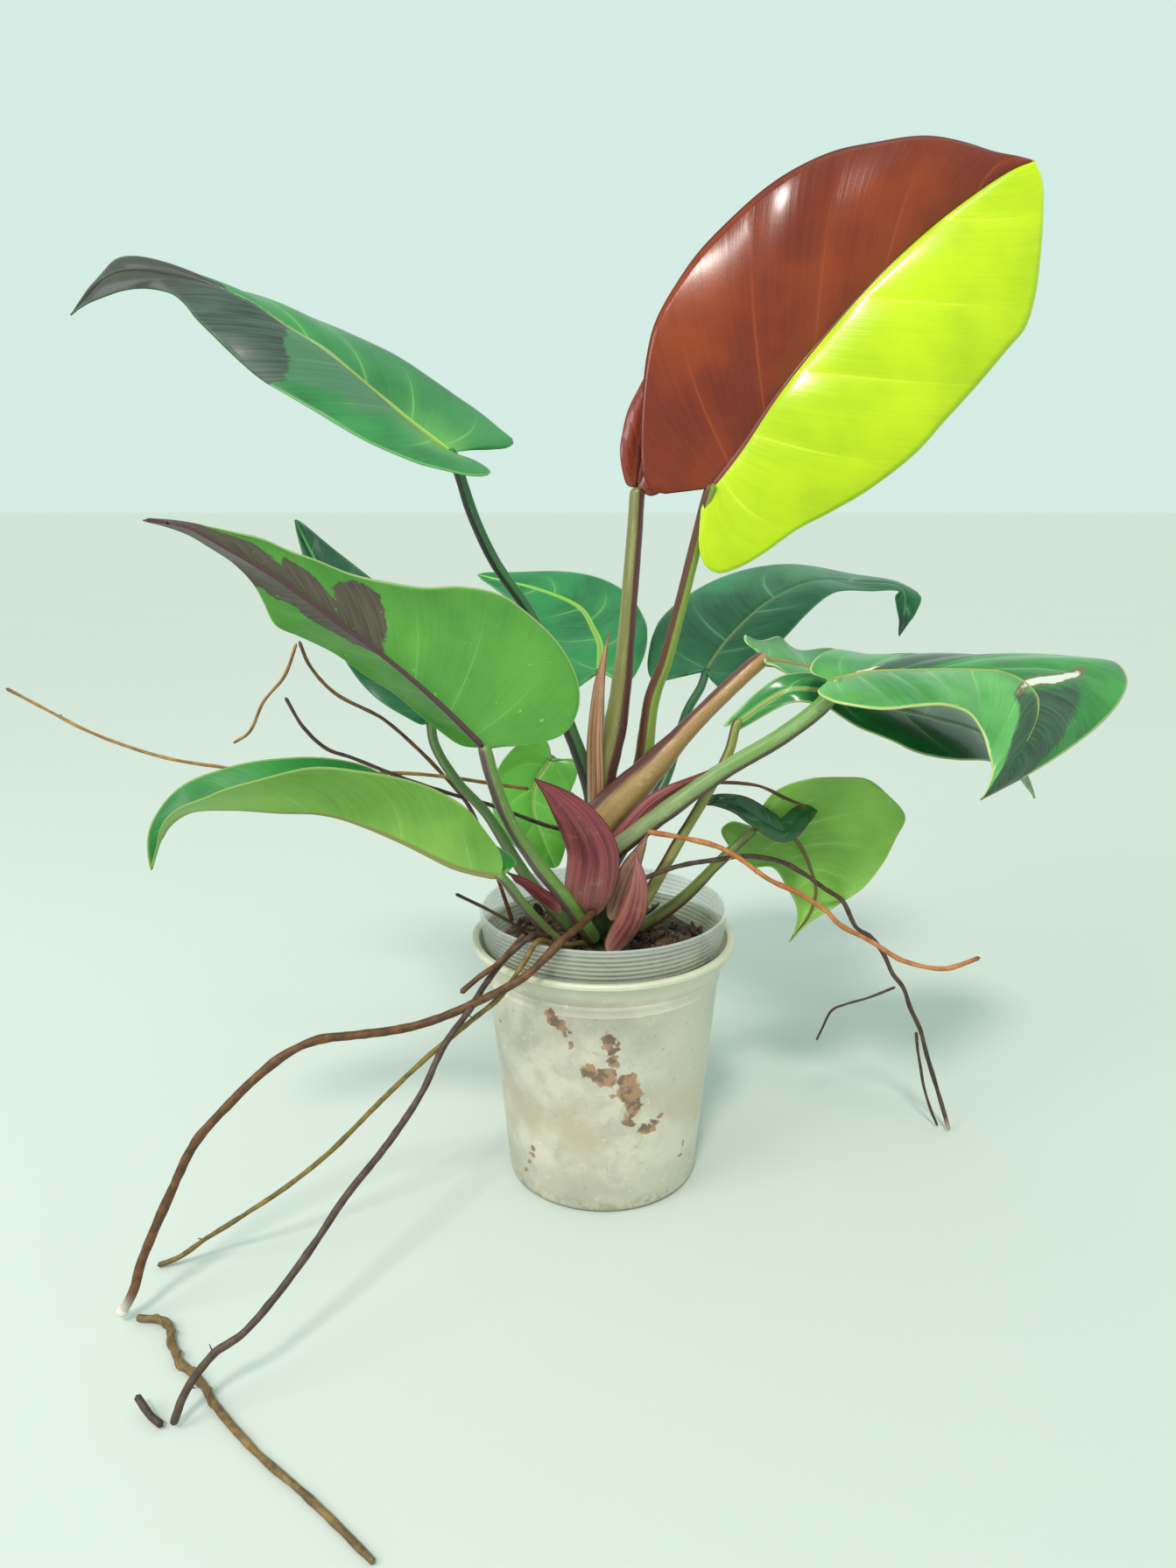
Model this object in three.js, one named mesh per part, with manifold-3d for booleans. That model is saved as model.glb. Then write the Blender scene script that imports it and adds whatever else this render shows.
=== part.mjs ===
// A philodendron in a clear nursery pot that stands in a second, frosted pot.
// Millimetres, +Z up. The origin is the middle of the outer pot's foot.
// +X is the side where the red and lime leaf leans, -Y is the front.

import * as THREE from 'three';
import { ParametricGeometry } from 'three/addons/geometries/ParametricGeometry.js';
import { mergeVertices } from 'three/addons/utils/BufferGeometryUtils.js';
import Module from 'manifold-3d';

// ---- Driving dimensions ----

const GAP = 0.3; // clearance between neighbouring solids
const POT_SIDES = 36;

const OUTER_POT = { foot: 40, shoulder: 48.5, lip: 54.5, height: 106, wall: 1, base: 1.5 };
const INNER_POT = { foot: 37.5, shoulder: 46.8, rim: 51, height: 118, lift: 12, wall: 0.9, base: 1.2 };
const RIM_BAND = 14; // ridged band at the top of the inner pot
const COLLAR = 9; // turned-out collar at the top of the outer pot
const DRAIN_HOLE = { radius: 3.5, ring: 24, count: 6 };

const MOSS = { top: 101, lump: 3, margin: 1.2 };
const STEM = { route: [[-4, 2, 105], [-3, 1, 125], [0, 1, 148], [1, 1, 168]], radii:
  [8.5, 7.5, 6.5, 4.5] };

const BLADE = { thickness: 1.1, around: 8, along: 16 };
const TUBE_SIDES = 7;

// ---- Leaves ----
// rib: route of the midrib from the petiole to the tip.
// up: directions that the upper face looks in, spread evenly along the rib.
// left, right: the two halves, as seen from above with the tip ahead. Each has its half width,
//   its basal lobe, its skew (above 1 moves the widest place toward the base), its fold in degrees
//   from base to tip, and its extra curl toward the margin. spread widens or narrows it on the way.
// point: 0 is a round tip, 1 a drawn-out one. lift: how far the basal lobes bend up, in degrees.
// edge: in place of those, the route of a half's margin from the petiole to the tip. Its crown is how
//   far that half arches up between rib and margin, its pace how far the margin runs ahead of the rib.
// roll: a basal lobe that rolls over, as a narrow blade of its own that is joined to the leaf.

const LEAVES = [
  {
    name: 'tall_half_red', color: '#a03a1c',
    rib: [[39, -9, 284], [50, -6, 298], [63, -3, 317], [76, 1, 333], [92, 4, 351], [105, 7, 364],
      [120, 10, 377], [135, 12, 388], [148, 13, 396], [156, 14, 399]],
    up: [[0.02, -1, 0.17], [-0.05, -1, 0.17]], point: 0.3,
    left: {
      crown: 5, pace: 0.65,
      edge: [[39, -9, 284], [32, -10, 283], [24, -12, 282], [18, -14, 282], [14, -13, 288], [13, -11, 297],
        [13, -9, 311], [15, -5, 331], [18, -3, 342], [26, 0, 356], [34, 2, 367], [45, 4, 378],
        [56, 6, 387], [69, 8, 395], [84, 10, 402], [99, 11, 405], [115, 13, 406.5], [130, 14, 405],
        [142, 14, 402], [150, 14, 400.5], [156, 14, 399]],
    },
    right: {
      crown: 4, pace: 0.7,
      edge: [[39, -9, 284], [36, -10, 279], [35, -10, 271], [35, -11, 262], [37, -11, 256], [42, -11, 253],
        [50, -10, 255], [59, -9, 260], [72, -7, 269], [84, -5, 275], [98, -4, 283], [115, -2, 296],
        [126, 0, 308], [138, 2, 321], [149, 4, 334], [155, 6, 341], [158, 8, 351], [159, 9, 365],
        [160, 12, 380], [159, 13, 392], [156, 14, 399]],
    },
    petiole: [[15, 5, 174], [19, 3, 203], [24, 0, 219], [30, -3, 244], [35, -6, 267], [39, -9, 284]],
    widths: [8, 5],
  },
  {
    name: 'young_red', color: '#9a3a26',
    rib: [[13, 15, 284], [15, 18, 296], [17, 20, 310], [20, 22, 323], [22, 24, 334]],
    up: [[0.1, -1, 0.15], [0.1, -1, 0.15]], point: 0.5,
    left: {
      crown: 3, pace: 0.8,
      edge: [[13, 15, 284], [9, 14, 285], [7, 13, 290], [6, 14, 298], [7, 16, 305], [9, 18, 313],
        [13, 20, 321], [17, 22, 328], [22, 24, 334]],
    },
    right: {
      crown: 3, pace: 0.8,
      edge: [[13, 15, 284], [18, 15, 281], [24, 16, 284], [29, 18, 293], [30, 20, 306], [28, 22, 319],
        [25, 23, 329], [22, 24, 334]],
    },
    petiole: [[0, 1, 173], [4, 3, 189], [7, 5, 209], [10, 9, 243], [12, 13, 268], [13, 15, 284]],
    widths: [11, 6.5],
  },
  {
    name: 'behind_right', color: '#3c7a3c',
    rib: [[63, 5, 219], [76, 14, 216], [93, 28, 211], [117, 44, 207], [143, 56, 206], [164, 62, 204]],
    up: [[0, -0.6, 1], [0.1, -0.1, 1]], point: 0.6, lift: 20,
    left: { half: 22, lobe: 8, skew: 1.3, fold: [5, 0], curl: 0 },
    right: { half: 20, lobe: 8, skew: 1.3, fold: [0, 0], curl: 20 },
    petiole: [[0, -8, 158], [17, -8, 176], [38, -4, 198], [58, 2, 216], [63, 5, 219]],
    widths: [17, 7.5],
  },
  {
    name: 'drooping_right', color: '#2f8a46',
    rib: [[82, -31, 216], [97, -24, 218], [118, -18, 218], [137, -16, 218], [151, -19, 217],
      [158, -27, 212], [156, -38, 205], [149, -47, 196], [140, -54, 186], [131, -58, 178]],
    up: [[0, -0.25, 1], [0, -0.25, 1], [0, -0.3, 1], [0.1, -0.8, 0.5], [0.3, -0.9, 0.2]],
    left: {
      crown: 2, pace: 1,
      edge: [[82, -31, 216], [76, -24, 218], [80, -14, 222], [89, -4, 224], [105, 4, 221],
        [129, 10, 220], [156, 15, 219], [182, 17, 219], [195, 12, 218], [202, 5, 217], [203, -4, 212],
        [197, -14, 206], [186, -24, 199], [169, -36, 191], [153, -46, 185], [138, -54, 180],
          [131, -58, 178]],
    },
    right: {
      crown: 2, pace: 0.65,
      edge: [[82, -31, 216], [76, -38, 213], [80, -46, 211], [88, -49, 210], [97, -50, 209],
        [108, -48, 209], [120, -46, 210], [128, -44, 207], [133, -45, 201], [135, -50, 194],
          [135, -55, 187], [131, -58, 178]],
    },
    petiole: [[2, -14, 144], [23, -20, 163], [45, -25, 181], [67, -29, 196], [82, -31, 210],
      [84, -30, 217]],
    widths: [8.5, 7],
  },
  {
    name: 'twisted_right', color: '#2c7c40',
    rib: [[51, -14, 197], [63, -14, 206], [71, -14, 210], [84, -12, 209], [97, -8, 204], [112, -2, 201],
      [133, 4, 195], [153, 10, 188], [171, 16, 175], [182, 20, 158]],
    up: [[0.4, -1, 0.6], [0, -0.5, 1], [0, -0.3, 1], [0.1, -0.3, 1], [0.2, -0.4, 1]], point: 0.8,
    left: { half: 33, lobe: 12, skew: 1, spread: [0.15, 0.3, 0.9, 1, 1], fold: [0, 5], curl: 0 },
    right: { half: 28, lobe: 12, skew: 1, spread: [0.15, 0.3, 1, 1, 1], fold: [-15, -10], curl: -10 },
    petiole: [[5, -10, 104], [18, -12, 127], [30, -13, 150], [41, -15, 171], [48, -15, 186],
      [51, -14, 197]],
    widths: [5.5, 4],
  },
  {
    name: 'back_right', color: '#236b4c',
    rib: [[46, 60, 206], [57, 75, 218], [79, 95, 234], [102, 108, 242], [126, 114, 241], [146, 114, 238],
      [147, 112, 227], [145, 112, 215]],
    up: [[-0.1, -0.5, 0.85], [0, -0.2, 1], [0, -0.1, 1]], point: 0.75,
    left: { half: 38, lobe: 16, skew: 1.7, fold: [5, 0], curl: 0 },
    right: { half: 22, lobe: 8, skew: 1.5, fold: [-5, -5], curl: -10 },
    petiole: [[14, 10, 150], [26, 20, 166], [36, 38, 191], [43, 50, 200], [46, 60, 205]],
    widths: [5, 4],
  },
  {
    name: 'upper_left', color: '#3a9a4a',
    rib: [[-55, -20, 296], [-67, -18, 305], [-78, -16, 314], [-91, -15, 325], [-102, -13, 333],
      [-112, -12, 339], [-121, -11, 345], [-131, -10, 350], [-143, -9, 354], [-154, -8, 356.5],
      [-163, -7, 358], [-172, -6, 358], [-179, -6, 355], [-185, -5, 350], [-192, -5, 344]],
    up: [[0.25, -0.6, 0.75], [0.2, -0.5, 0.9], [0, -0.5, 0.9], [-0.1, -0.6, 0.7]], point: 0.9,
    left: {
      crown: 3, pace: 0.75,
      edge: [[-55, -20, 296], [-48, -25, 294], [-42, -30, 291], [-40, -34, 289], [-43, -37, 288],
        [-49, -38, 288.5], [-55, -39, 290], [-63, -40, 292], [-71, -40, 295], [-81, -40, 299],
        [-91, -39, 304], [-101, -37, 310], [-109, -35, 315], [-117, -33, 320], [-125, -30, 326],
        [-134, -26, 333], [-142, -21, 340], [-147, -17, 346], [-152, -14, 350], [-160, -11, 352],
        [-169, -10, 351.5], [-179, -8, 349], [-186, -6, 347], [-192, -5, 344]],
    },
    right: {
      crown: 3, pace: 0.75,
      edge: [[-55, -20, 296], [-49, -13, 297], [-42, -6, 297.5], [-36, -1, 298.5], [-34, 3, 301],
        [-39, 5, 305.5], [-47, 7, 312], [-56, 8, 318], [-67, 9, 325], [-78, 10, 331.5], [-89, 11, 337],
        [-100, 12, 342.5], [-111, 12, 347], [-121, 11, 350.5], [-131, 9, 353], [-141, 7, 355],
        [-149, 5, 357.5], [-157, 3, 360.5], [-164, 1, 363.5], [-170, -1, 364.5], [-175, -2, 363],
        [-180, -3, 358], [-186, -4, 351.5], [-192, -5, 344]],
    },
    petiole: [[-6, -2, 170], [-10, -4, 183], [-15, -6, 197], [-26, -10, 234], [-41, -14, 258],
      [-48, -17, 274], [-55, -20, 296]],
    widths: [6.5, 4.5],
  },
  {
    name: 'left_turned', color: '#4a9a48',
    rib: [[-43, -50, 195], [-57, -55, 211], [-73, -60, 227], [-88, -65, 240], [-106, -70, 255],
      [-122, -75, 266], [-132, -78, 272], [-144, -80, 274]],
    up: [[-0.3, 0.85, -0.1], [-0.3, 0.85, -0.1]], point: 0.9,
    left: {
      crown: 3, pace: 0.7,
      edge: [[-43, -50, 195], [-26, -44, 195], [-15, -40, 198], [-10, -37, 206], [-10, -36, 216],
        [-16, -37, 229], [-26, -39, 240], [-37, -42, 248], [-50, -46, 251], [-62, -50, 251], [-73, -54, 253],
        [-85, -57, 256], [-96, -61, 261], [-104, -63, 264], [-112, -66, 268], [-120, -68, 270],
        [-128, -72, 272], [-136, -76, 273.5], [-144, -80, 274]],
    },
    right: {
      crown: 2, pace: 1.2,
      edge: [[-43, -50, 195], [-51, -46, 195], [-63, -43, 203], [-74, -43, 213], [-85, -46, 221],
        [-95, -48, 229], [-105, -52, 235], [-112, -55, 239], [-115, -57, 247], [-117, -60, 253],
        [-122, -63, 260], [-128, -68, 265.5], [-133, -72, 269.5], [-139, -76, 272.3], [-144, -80, 274]],
    },
    petiole: [[-8, -18, 116], [-15, -26, 130], [-27, -34, 149], [-36, -42, 168], [-41, -48, 186],
      [-43, -50, 195]],
    widths: [7, 5.5],
  },
  {
    name: 'low_left', color: '#63a84c',
    rib: [[-38, -52, 148], [-53, -56, 153], [-69, -58, 162], [-85, -60, 170], [-98, -60, 174],
      [-114, -61, 175], [-131, -61, 176], [-145, -62, 175], [-154, -62, 168], [-160, -62, 154]],
    up: [[0, 0.1, 1], [0, 0, 1], [0, -0.3, 1], [0, -0.5, 0.9]], point: 0.85,
    left: { half: 28, lobe: 0, skew: 1.1, fold: [75, 65, 30], curl: 0 },
    right: { half: 28, lobe: 12, skew: 1.1, fold: [30, 30], curl: 0 },
    petiole: [[-14, -20, 106], [-22, -30, 118], [-30, -42, 133], [-38, -52, 148]],
    widths: [5, 4],
  },
  {
    name: 'hidden_left', color: '#1f6a40',
    rib: [[-69, 0, 199], [-84, 2, 213], [-98, 5, 232], [-111, 10, 253], [-121, 15, 272]],
    up: [[-0.3, -0.5, 0.7], [-0.3, -0.5, 0.7]], point: 0.7,
    left: { half: 12, lobe: 4, skew: 1.5, fold: [10, 10], curl: 0 },
    right: { half: 24, lobe: 8, skew: 1.5, fold: [10, 10], curl: 0 },
    petiole: [[-12, -8, 109], [-31, -8, 133], [-47, -6, 159], [-58, -4, 171], [-67, -2, 186],
      [-69, 0, 199]],
    widths: [5.5, 4.2],
  },
  {
    name: 'back_left', color: '#1f7a50',
    rib: [[-1, 60, 206], [-1, 72, 216], [-4, 84, 222], [-10, 98, 230], [-28, 112, 237], [-60, 120, 244]],
    up: [[-0.1, -0.5, 0.9], [-0.2, -0.5, 0.9]], point: 0.7,
    left: { half: 26, lobe: 10, skew: 1.3, fold: [-10, -10], curl: 0 },
    right: { half: 26, lobe: 10, skew: 1.3, fold: [0, 0], curl: 0 },
    petiole: [[1, 12, 117], [1, 25, 146], [-1, 40, 173], [-1, 52, 194], [-1, 60, 206]],
    widths: [5.5, 4.2],
  },
  {
    name: 'small_back', color: '#4a9c34',
    rib: [[-23, 56, 166], [-29, 54, 158], [-31, 52, 146], [-27, 50, 132], [-21, 50, 117]],
    up: [[-0.1, -1, 0.2], [-0.1, -1, 0.1]], point: 0.5,
    left: { half: 20, lobe: 8, skew: 1.3, fold: [5, 5], curl: 0 },
    right: { half: 20, lobe: 8, skew: 1.3, fold: [5, 5], curl: 0 },
    petiole: [[-2, 15, 106], [-8, 40, 125], [-15, 62, 147], [-19, 63, 160], [-23, 58, 167]],
    widths: [4, 3],
  },
  {
    name: 'low_right', color: '#5aae3c',
    rib: [[61, 0, 150], [71, 4, 149], [80, 8, 143], [87, 12, 130], [90, 13, 118], [86, 12, 106],
      [79, 10, 97]],
    up: [[0, 1, 0.1], [0.1, 1, 0.1]], point: 0.6,
    left: {
      crown: 2, pace: 1.05,
      edge: [[61, 0, 150], [53, 6, 152], [49, 10, 147], [53, 11, 139], [61, 11, 131], [71, 10, 130],
        [77, 10, 122], [82, 11, 112], [82, 11, 104], [79, 10, 97]],
    },
    right: {
      crown: 3, pace: 0.8,
      edge: [[61, 0, 150], [64, 3, 158], [70, 5, 165], [82, 5, 170], [97, 4, 171], [107, 3, 170], [115, 2, 164],
        [122.5, 3, 155], [120, 4, 146], [116, 5, 134], [109, 7, 123], [101, 9, 116], [95, 10, 111],
        [87, 10.5, 105], [79, 10, 97]],
    },
    roll: {
      rib: [[88, 8, 158], [80, -1, 156], [72, -8, 152], [61, -11, 158], [53, -11, 163], [44, -10, 165],
        [37, -8, 163]],
      up: [[0, -1, 0.5], [0, -1, 0.6], [0, -1, 0.7], [0, -1, 0.6]], point: 0.4,
      left: { half: 5, lobe: 0, skew: 1, fold: [0, 0], curl: 0 },
      right: { half: 6, lobe: 0, skew: 1, fold: [0, 0], curl: 0 },
    },
    petiole: [[14, 4, 105], [33, 2, 120], [47, 0, 136], [61, 0, 150]],
    widths: [6, 4.5],
  },
];

// ---- Sheaths: the papery leaf bases that wrap the stem, made like narrow cupped leaves ----

const SHEATHS = [
  {
    name: 'tall_sheath', color: '#8a4a3a',
    rib: [[-4, -9, 172], [-4, -9, 191], [-2, -6, 211], [2, -3, 230]],
    up: [[0.4, 1, 0], [0.4, 1, 0]],
    left: { half: 4.5, lobe: 0, skew: 1.2, fold: [20, 10], curl: 40 },
    right: { half: 4.5, lobe: 0, skew: 1.2, fold: [20, 10], curl: 40 },
  },
  {
    name: 'right_sheath', color: '#7a2c3c',
    rib: [[5, -16, 150], [18, -19, 166], [30, -22, 175], [42, -26, 182]],
    up: [[0, 1, 0.4], [0, 1, 0.4]],
    left: { half: 4, lobe: 0, skew: 1.2, fold: [10, 10], curl: 20 },
    right: { half: 4, lobe: 0, skew: 1.2, fold: [10, 10], curl: 20 },
  },
  {
    name: 'front_sheath', color: '#7c3440',
    rib: [[-7, -27, 128], [-5, -30, 148], [-10, -33, 162], [-18, -35, 173], [-26, -38, 181]],
    up: [[0.1, 1, 0.1], [0.2, 1, -0.3]],
    left: { half: 9, lobe: 0, skew: 1.2, fold: [10, 0], curl: 50 },
    right: { half: 9, lobe: 0, skew: 1.2, fold: [10, 0], curl: 50 },
  },
  {
    name: 'small_left_sheath', color: '#8a4440',
    rib: [[-17, -26, 124], [-27, -31, 135], [-37, -37, 145]],
    up: [[0.1, 1, 0.6], [0.1, 1, 0.6]],
    left: { half: 4, lobe: 0, skew: 1.2, fold: [10, 0], curl: 40 },
    right: { half: 4, lobe: 0, skew: 1.2, fold: [10, 0], curl: 40 },
  },
  {
    name: 'right_low_sheath', color: '#7a3c3e',
    rib: [[3, -18, 118], [9, -21, 137], [17, -23, 156]],
    up: [[0, 1, 0.1], [0, 1, 0.1]],
    left: { half: 5, lobe: 0, skew: 1.2, fold: [10, 0], curl: 40 },
    right: { half: 5, lobe: 0, skew: 1.2, fold: [10, 0], curl: 40 },
  },
  {
    name: 'front_low_sheath', color: '#86454a',
    rib: [[2, -22, 106], [10, -27, 121], [13, -29, 136], [12, -27, 150]],
    up: [[0.1, 1, 0.1], [0.1, 1, 0.1]],
    left: { half: 6, lobe: 0, skew: 1.2, fold: [10, 0], curl: 40 },
    right: { half: 6, lobe: 0, skew: 1.2, fold: [10, 0], curl: 40 },
  },
];

// ---- Aerial roots: route and radius at the start and the end ----

const ROOTS = [
  {
    name: 'thick_left_root', color: '#5c3a26', radii: [1.5, 1.7],
    route: [[-5, -27, 124], [-10, -36, 122], [-16, -47, 121], [-29, -56, 111], [-46, -58, 102],
      [-63, -62, 96], [-75, -65, 94], [-88, -69, 94], [-102, -73, 94], [-112, -77, 91], [-121, -81, 85],
      [-131, -85, 76], [-143, -90, 63], [-150, -94, 49], [-156, -97, 36], [-162, -99, 22],
        [-165, -101, 12], [-170, -102, 3]],
  },
  {
    name: 'olive_left_root', color: '#6e5a26', radii: [1.1, 0.9],
    route: [[-19, -36, 115], [-25, -45, 120], [-30, -51, 114], [-39, -55, 102], [-50, -57, 93],
      [-66, -60, 80], [-83, -63, 64], [-102, -66, 45], [-118, -68, 32], [-136, -70, 20], [-150, -71, 11],
      [-160, -72, 4], [-168, -73, 1.2]],
  },
  {
    name: 'dark_left_root', color: '#4a2c20', radii: [1.2, 1.3],
    route: [[-21, -30, 116], [-28, -41, 120], [-36, -46, 115], [-44, -51, 106], [-50, -61, 99],
      [-58, -70, 90], [-65, -80, 77], [-75, -92, 65], [-88, -107, 53], [-96, -116, 43], [-108, -128, 30],
      [-116, -136, 24], [-123, -140, 21], [-128, -143, 16], [-132, -146, 10], [-135, -149, 1.8]],
  },
  {
    name: 'dark_left_root_end', color: '#4a2c20', radii: [1.2, 1.2],
    route: [[-138, -149, 1.6], [-143, -146, 3], [-149, -141, 6]],
  },
  {
    name: 'floor_root', color: '#5a4220', radii: [1.4, 1],
    route: [[-165, -101, 1.6], [-153, -104, 2], [-149, -111, 1.6], [-143, -121, 1.6], [-133, -130, 1.6],
      [-124, -141, 1.5], [-107, -158, 1.4], [-85, -176, 1.3], [-64, -195, 1.2]],
  },
  {
    name: 'left_stub_root', color: '#60402a', radii: [0.9, 1.1],
    route: [[-30, -40, 121], [-40, -50, 113], [-47, -54, 109], [-53, -58, 105]],
  },
  {
    name: 'hairy_stub_root', color: '#7a7a30', radii: [0.8, 0.6],
    route: [[-28, -27, 113], [-34, -32, 121], [-43, -35, 128], [-56, -40, 137]],
  },
  {
    name: 'left_upper_root', color: '#4a3028', radii: [0.9, 0.7],
    route: [[-38, 6, 108], [-49, 7, 143], [-56, 8, 159], [-67, 10, 172], [-77, 12, 182], [-90, 14, 193],
      [-110, 18, 203], [-120, 20, 214], [-124, 21, 224]],
  },
  {
    name: 'left_upper_branch', color: '#a8662c', radii: [0.7, 0.6],
    route: [[-125, 21, 223], [-130, 18, 210], [-138, 13, 200], [-144, 11, 188], [-150, 8, 184]],
  },
  {
    name: 'left_middle_root', color: '#54362a', radii: [0.9, 0.7],
    route: [[-14, 11, 146], [-24, 10, 149], [-47, 6, 159], [-59, 4, 163], [-79, 0, 171], [-100, -4, 181],
      [-109, -6, 185], [-117, -8, 194], [-123, -9, 206]],
  },
  {
    name: 'long_thin_left_root', color: '#8a6428', radii: [0.8, 0.6],
    route: [[-30, 4, 166], [-79, 2, 173], [-126, 0, 172], [-145, 0, 175], [-171, 0, 179], [-188, 0, 184],
      [-205, 0, 191], [-221, 0, 200], [-235, 0, 208]],
  },
  {
    name: 'orange_right_root', color: '#b06c34', radii: [1, 0.9],
    route: [[16, -26, 157], [29, -27, 155], [42, -28, 152], [50, -28, 148], [63, -30, 139],
      [74, -31, 134], [85, -32, 127], [90, -33, 122], [103, -34, 115], [113, -36, 109], [124, -37, 106],
      [131, -38, 106], [143, -39, 111]],
  },
  {
    name: 'dark_right_root', color: '#3e2c28', radii: [1, 1],
    route: [[15, -20, 136], [30, -16, 140], [44, -12, 141], [57, -7, 141], [72, -2, 137], [82, 1, 131],
      [92, 5, 123], [100, 7, 117], [108, 11, 103], [114, 12, 99], [121, 15, 90], [126, 16, 80],
      [132, 19, 72], [136, 20, 62], [142, 22, 50], [146, 24, 38], [151, 25, 24], [155, 24, 12],
        [158, 20, 1.3]],
  },
  {
    name: 'dark_right_branch', color: '#3e2c28', radii: [0.7, 0.6],
    route: [[141, 25, 48], [143, 27, 38], [145, 27, 29], [147, 27, 20], [151, 26, 8], [154, 24, 1]],
  },
  {
    name: 'dark_right_twig', color: '#4c4440', radii: [0.6, 0.5],
    route: [[129, 20, 72], [118, 22, 66], [109, 24, 62], [103, 26, 58], [99, 27, 48], [97, 28, 42]],
  },
  {
    name: 'short_right_root', color: '#5a3a2c', radii: [0.8, 0.6],
    route: [[40, 2, 169], [49, -1, 170], [62, -3, 169], [73, -4, 164], [81, -5, 161]],
  },
];

// ---- Shared builders ----

const wasm = await Module();
wasm.setup();

const vector = (p) => new THREE.Vector3(...p);
const curveThrough = (route) => new THREE.CatmullRomCurve3(route.map(vector));
const between = (list, t) => {
  const place = t * (list.length - 1);
  const index = Math.min(Math.floor(place), list.length - 2);
  return THREE.MathUtils.lerp(list[index], list[index + 1], place - index);
};

// One closed body: shared corners merged, collapsed triangles dropped, faces turned out.
function closeUp(geometry) {
  const bare = geometry.clone();
  bare.deleteAttribute('normal');
  bare.deleteAttribute('uv');
  const merged = mergeVertices(bare, 1e-3);
  const at = merged.getAttribute('position');
  const corner = (i) => new THREE.Vector3().fromBufferAttribute(at, i);
  const index = merged.getIndex().array;
  const faces = [];
  let volume = 0;
  for (let i = 0; i < index.length; i += 3) {
    const [a, b, c] = index.slice(i, i + 3);
    if (a === b || b === c || c === a) continue;
    faces.push([a, b, c]);
    volume += corner(a).dot(corner(b).cross(corner(c)));
  }
  merged.setIndex(faces.flatMap(([a, b, c]) => (volume < 0 ? [a, c, b] : [a, b, c])));
  merged.computeVertexNormals();
  return merged;
}

function solidOf(geometry) {
  const closed = closeUp(geometry);
  return new wasm.Manifold(new wasm.Mesh({
    numProp: 3,
    vertProperties: new Float32Array(closed.getAttribute('position').array),
    triVerts: new Uint32Array(closed.getIndex().array),
  }));
}

function geometryOf(solid) {
  const mesh = solid.getMesh();
  const geometry = new THREE.BufferGeometry();
  geometry.setAttribute('position', new THREE.BufferAttribute(new Float32Array(mesh.vertProperties), 3));
  geometry.setIndex(Array.from(mesh.triVerts));
  geometry.computeVertexNormals();
  return geometry;
}

// A piece with the neighbours that it meets cut away. Only its largest body is kept.
function clearOf(geometry, neighbours) {
  let solid = solidOf(geometry);
  for (const neighbour of neighbours) solid = solid.subtract(neighbour);
  const bodies = solid.decompose().sort((a, b) => b.volume() - a.volume());
  return geometryOf(bodies[0]);
}

// A round tube along a route, with its radius given at even steps from start to end.
function taperedTube(route, radii, grow = 0) {
  const curve = curveThrough(route);
  const thinnest = Math.min(...radii);
  const steps = THREE.MathUtils.clamp(Math.round(curve.getLength() / (thinnest * 6)), 6, 30);
  const ring = [];
  for (let k = 0; k < TUBE_SIDES; k += 1) {
    const angle = (2 * Math.PI * k) / TUBE_SIDES;
    ring.push(new THREE.Vector2(Math.cos(angle), Math.sin(angle)));
  }
  const tube = new THREE.ExtrudeGeometry(new THREE.Shape(ring), { steps, extrudePath: curve });
  const centres = curve.getSpacedPoints(steps);
  const at = tube.getAttribute('position');
  const corner = new THREE.Vector3();
  for (let i = 0; i < at.count; i += 1) {
    corner.fromBufferAttribute(at, i);
    let nearest = 0;
    centres.forEach((centre, k) => {
      if (centre.distanceTo(corner) < centres[nearest].distanceTo(corner)) nearest = k;
    });
    const radius = between(radii, nearest / steps) + grow;
    corner.sub(centres[nearest]).multiplyScalar(radius).add(centres[nearest]);
    at.setXYZ(i, corner.x, corner.y, corner.z);
  }
  return closeUp(tube);
}

// ---- Leaves ----

// Flat outline of one half: across from the rib and along it, at angle 0 at the petiole, 180 at the tip.
function outline(leaf, half, length, angle) {
  const climb = (1 - Math.cos(angle)) / 2;
  const spread = between(half.spread ?? [1, 1], climb);
  const across = spread * half.half * Math.sin(angle) * (1 - leaf.point * climb ** 3);
  const lobe = angle < Math.PI / 3 ? half.lobe * Math.sin(3 * angle) : 0;
  return [across, length * climb ** half.skew - lobe];
}

// Splits the quads of the lower face along the same diagonals as the upper face, so the two never cross.
function matchDiagonals(geometry) {
  const index = geometry.index.array;
  for (let at = 0; at < index.length; at += 6) {
    if ((at / 6) % BLADE.around < BLADE.around / 2) continue;
    const [a, b, d, , c] = index.slice(at, at + 5);
    index.set([a, b, c, a, c, d], at);
  }
  return geometry;
}

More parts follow.
